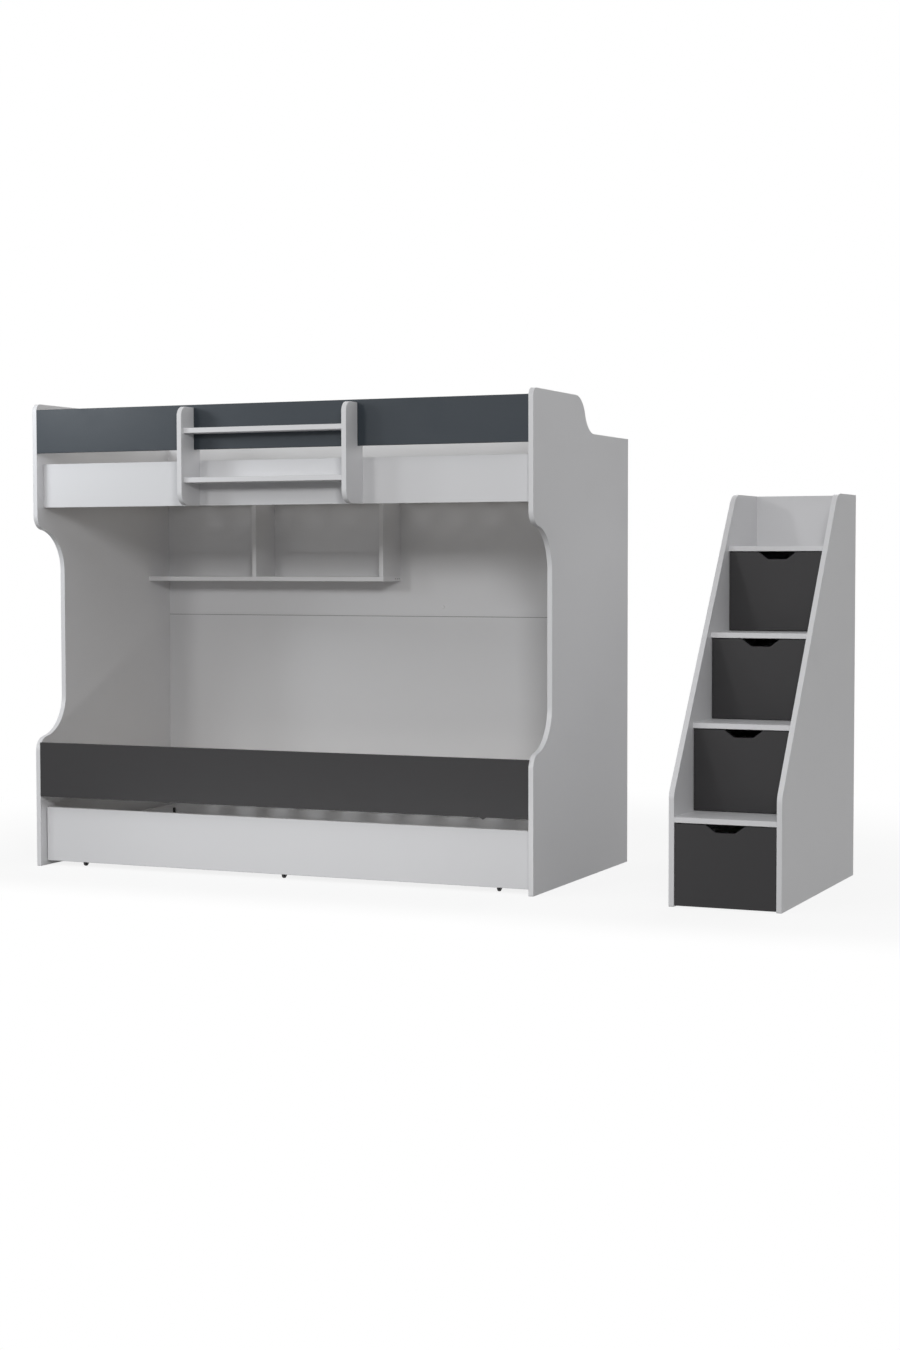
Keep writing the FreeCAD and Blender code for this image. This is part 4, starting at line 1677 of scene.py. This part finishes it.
# ---------------------------------------------------------------- the stairs
@dataclass
class Stairs(Section):
    """The storage stair's carcass: sides, treads, thin back and runner strips."""

    front_height: float = 366.0 * MM    # height at which the front edge begins to slant
    slant_radius: float = 60.0 * MM
    top_radius: float = 75.0 * MM
    slant_lead: float = 37.0 * MM       # how far the sides stand before the top tread
    foot: float = 3.0 * MM
    cam_ends: float = 34.0 * MM         # cams from a tread's ends
    cam_edges: float = 60.0 * MM        # and from its front and rear
    nail_margin: float = 20.0 * MM

    def side_corners(self, side: Box) -> list[Corner]:
        """The outline of a side, with its slanted front edge.

        Args:
            side: the side's box.

        Returns:
            The outline's corners, in Y and Z.
        """
        low, high = side
        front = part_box("tread_1")[0].y
        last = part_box(f"tread_{DRAWERS}")
        slant_run = last[0].y - low.y - self.slant_lead
        slant_rise = last[1].z - self.front_height
        slant_top = (high.z - self.front_height) * slant_run / slant_rise
        return [
            Corner(front, 0.0, self.foot),
            Corner(front, self.front_height, self.slant_radius),
            Corner(front + slant_top, high.z, self.top_radius),
            Corner(high.y, high.z, self.foot),
            Corner(high.y, 0.0, self.foot),
        ]

    def build(self) -> None:
        """Cuts the sides, dresses the rest and sets the fittings."""
        for side, _ in INNER_FACES:
            self.recut("stairs_side_" + side, self.side_corners, Axis.ALONG,
                       white_board(Axis.ALONG), "stairs")
        treads = [f"tread_{k}" for k in range(1, DRAWERS + 1)]
        self.room.dress_nodes(treads, white_board(Axis.UP))
        self.room.dress_node("stairs_back", ThinBoard("stairs_back_board", "melamine_white",
                                                      Axis.DEEP, 1.0))
        self.room.dress_node("drawer_runners", Softwood("pine_strips", "softwood", Axis.DEEP))
        cams, nails = [], []
        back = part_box("stairs_back")[1].y
        for tread in map(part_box, treads):
            low, high = tread
            cams += [(x, y, low.z) for x in spread(low.x, high.x, 2, self.cam_ends)
                     for y in spread(low.y, high.y, 3, self.cam_edges)]
            nails += [(x, back, centred(tread, Axis.UP))
                      for x in spread(low.x, high.x, 5, self.nail_margin)]
        self.box.place("tread_cams", Fitting.CAM, seats(cams, Axis.UP, -1.0), "stairs")
        self.box.place("stairs_back_nails", Fitting.NAIL, seats(nails, Axis.DEEP, 1.0), "stairs")


@dataclass
class Drawer(Section):
    """One drawer of the stair: the dark front with its grip, and the box behind it."""

    number: int
    grip_top: float = 131.0 * MM        # the grip's width at the front's top edge
    grip_bottom: float = 65.0 * MM      # and at its foot
    grip_depth: float = 25.0 * MM
    grip_radius: float = 17.0 * MM
    rim: float = 1.5 * MM               # radius of the front's corners
    cam_setback: float = 24.0 * MM      # cams behind a side's front end
    screw_setback: float = 7.5 * MM     # screws before its rear end
    fitting_rise: float = 45.0 * MM     # lower cam and screw over its lower edge
    fitting_drop: float = 40.0 * MM     # upper ones under its upper edge

    def front_corners(self, front: Box) -> list[Corner]:
        """The outline of the front, with the rounded grip in its top edge.

        Args:
            front: the front's box.

        Returns:
            The outline's corners, in X and Z.
        """
        low, high = front
        middle = centred(front, Axis.ALONG)
        top, bottom = self.grip_top / 2.0, self.grip_bottom / 2.0
        foot = high.z - self.grip_depth
        return [
            Corner(low.x, low.z, self.rim),
            Corner(low.x, high.z, self.rim),
            Corner(middle - top, high.z, self.grip_radius),
            Corner(middle - bottom, foot, self.grip_radius),
            Corner(middle + bottom, foot, self.grip_radius),
            Corner(middle + top, high.z, self.grip_radius),
            Corner(high.x, high.z, self.rim),
            Corner(high.x, low.z, self.rim),
        ]

    def build(self) -> None:
        """Cuts the front, dresses the box and sets its fittings."""
        body = f"drawer_{self.number}"
        self.recut(body + "_front", self.front_corners, Axis.DEEP, CHARCOAL, body)
        self.room.dress_nodes((body + "_side_left", body + "_side_right"),
                              FoilBoard("drawer_foil_sides", "drawer_board", Axis.ALONG))
        self.room.dress_node(body + "_back",
                             FoilBoard("drawer_foil_back", "drawer_board", Axis.DEEP))
        self.room.dress_node(body + "_bottom",
                             ThinBoard("drawer_bottom_board", "drawer_board", Axis.UP, -1.0))
        cams, screws = [], []
        for side, inward in INNER_FACES:
            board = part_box(f"{body}_side_{side}")
            low, high = board
            heights = (low.z + self.fitting_rise, high.z - self.fitting_drop)
            cams += seats([(face(board, Axis.ALONG, inward), low.y + self.cam_setback, z)
                           for z in heights], Axis.ALONG, inward)
            screws += seats([(face(board, Axis.ALONG, -inward), high.y - self.screw_setback, z)
                             for z in heights], Axis.ALONG, -inward)
        self.box.place(body + "_cams", Fitting.CAM, cams, body)
        self.box.place(body + "_screws", Fitting.WOOD_SCREW, screws, body)


# ---------------------------------------------------------------- studio and camera
@dataclass(frozen=True)
class Lamp:
    """One soft lamp, placed by its bearing and height from the set."""

    name: str
    bearing: float                      # degrees to the right of straight ahead
    rise: float                         # degrees over the level
    distance: float
    width: float
    height: float
    watts: float
    colour: Colour = (1.0, 1.0, 1.0)
    aim: tuple[float, float, float] = (0.0, 0.0, 0.8)

    def hang(self) -> None:
        """Puts the lamp in the scene, turned to what it lights."""
        light = bpy.data.lights.new(self.name, "AREA")
        light.shape = "RECTANGLE"
        light.size = self.width
        light.size_y = self.height
        light.energy = self.watts
        light.color = self.colour
        bearing, rise = math.radians(self.bearing), math.radians(self.rise)
        out = Vector((math.sin(bearing) * math.cos(rise), -math.cos(bearing) * math.cos(rise),
                      math.sin(rise)))
        lamp = bpy.data.objects.new(self.name, light)
        lamp.location = Vector(self.aim) + out * self.distance
        lamp.rotation_euler = (-out).to_track_quat("-Z", "Y").to_euler()
        bpy.context.scene.collection.objects.link(lamp)
        LOG.info("lamp %s hangs at %s", self.name, [round(v, 2) for v in lamp.location])


@dataclass
class Studio:
    """Floor, lamps and world."""

    room: FinishRoom
    sky: float = 0.92                   # plain light from a belt round the set
    belt_foot: tuple[float, float] = (0.31, 0.39)   # where the belt begins, as a share of up
    belt_head: tuple[float, float] = (0.74, 0.86)   # and where it ends
    floor_radius: float = 9.0
    lamps: tuple[Lamp, ...] = (
        Lamp("key", -19.0, 16.0, 7.0, 0.7, 0.7, 46.0),
        Lamp("right", 28.0, 16.0, 7.0, 0.9, 0.9, 114.0),
        Lamp("left", -45.0, 16.0, 7.0, 1.0, 1.0, 38.0, (0.93, 0.97, 1.0)),
        Lamp("left_near", -35.0, 26.0, 1.15, 0.25, 0.25, 4.6, (0.93, 0.97, 1.0),
             (-1.15, -0.43, 1.37)),
        Lamp("low_strip", 0.0, 0.0, 0.8, 2.1, 0.05, 2.3, aim=(-0.43, -0.39, 0.09)),
        Lamp("rear", 170.0, 30.0, 6.0, 2.5, 2.5, 60.0),
    )

    def build(self) -> None:
        """Lays the floor, hangs the lamps and sets the world."""
        work = bmesh.new()
        bmesh.ops.create_circle(work, cap_ends=True, segments=128, radius=self.floor_radius)
        mesh = bpy.data.meshes.new("studio_floor")
        work.to_mesh(mesh)
        work.free()
        floor = new_piece("studio_floor", mesh)
        mesh.materials.append(self.room.material(FLOOR))
        for lamp in self.lamps:
            lamp.hang()
        self._set_world()
        bpy.context.scene.view_settings.view_transform = "Standard"

    def _set_world(self) -> None:
        """Makes the world white to look at, and a plain grey light on the set."""
        world = bpy.data.worlds.new("studio_white")
        tree = ShaderTree(world)
        height = tree.parts(tree.coordinates("Generated"))[2]
        belt = height.rising(*self.belt_foot) * (1.0 - height.rising(*self.belt_head))
        plain = belt * self.sky
        seen = tree.seen_ray()
        light = tree.node("ShaderNodeBackground", None, {
            "Color": (1.0, 1.0, 1.0), "Strength": seen + (1.0 - seen) * plain})
        tree.node("ShaderNodeOutputWorld", None, {"Surface": light.outputs[0]})
        bpy.context.scene.world = world


@dataclass
class Camera:
    """The camera where the picture was taken from."""

    place: tuple[float, float, float] = (3.2928, -7.3803, 1.1224)
    yaw: float = 0.4127                 # turned to the left, radians
    pitch: float = 0.0514               # tipped down
    roll: float = -0.0018
    focal_pixels: float = 2260.97
    long_side: int = 1350
    sensor: float = 36.0
    clip_end: float = 60.0

    def build(self) -> None:
        """Puts the camera in the scene."""
        ahead = Vector((-math.sin(self.yaw), math.cos(self.yaw), 0.0))
        right = Vector((math.cos(self.yaw), math.sin(self.yaw), 0.0))
        up = Vector((0.0, 0.0, 1.0))
        looking = ahead * math.cos(self.pitch) - up * math.sin(self.pitch)
        above = up * math.cos(self.pitch) + ahead * math.sin(self.pitch)
        side = right * math.cos(self.roll) + above * math.sin(self.roll)
        crown = above * math.cos(self.roll) - right * math.sin(self.roll)
        data = bpy.data.cameras.new("camera")
        data.sensor_fit = "AUTO"
        data.sensor_width = self.sensor
        data.lens = self.focal_pixels * self.sensor / self.long_side
        data.clip_end = self.clip_end
        camera = bpy.data.objects.new("camera", data)
        turn = Matrix((side, crown, -looking)).transposed().to_4x4()
        camera.matrix_world = Matrix.Translation(Vector(self.place)) @ turn
        bpy.context.scene.collection.objects.link(camera)
        bpy.context.scene.camera = camera
        LOG.info("camera stands at %s", self.place)


def main() -> None:
    """Builds the set piece by piece, then the studio."""
    logging.basicConfig(level=logging.INFO, format="%(message)s")
    room = FinishRoom()
    box = FittingBox(room)
    slats = SlatRecipe()
    sections = [BedFrame(room, box), Rack(room, box), WallShelf(room, box),
                SlatBase(room, box, slats, "upper"), SlatBase(room, box, slats, "lower"),
                Trundle(room, box), CasterWheels(room, box), Stairs(room, box)]
    sections += [Drawer(room, box, number) for number in range(1, DRAWERS + 1)]
    sections += [Studio(room), Camera()]
    for section in sections:
        section.build()
        LOG.info("%s done", type(section).__name__)


if __name__ == "__main__":
    main()
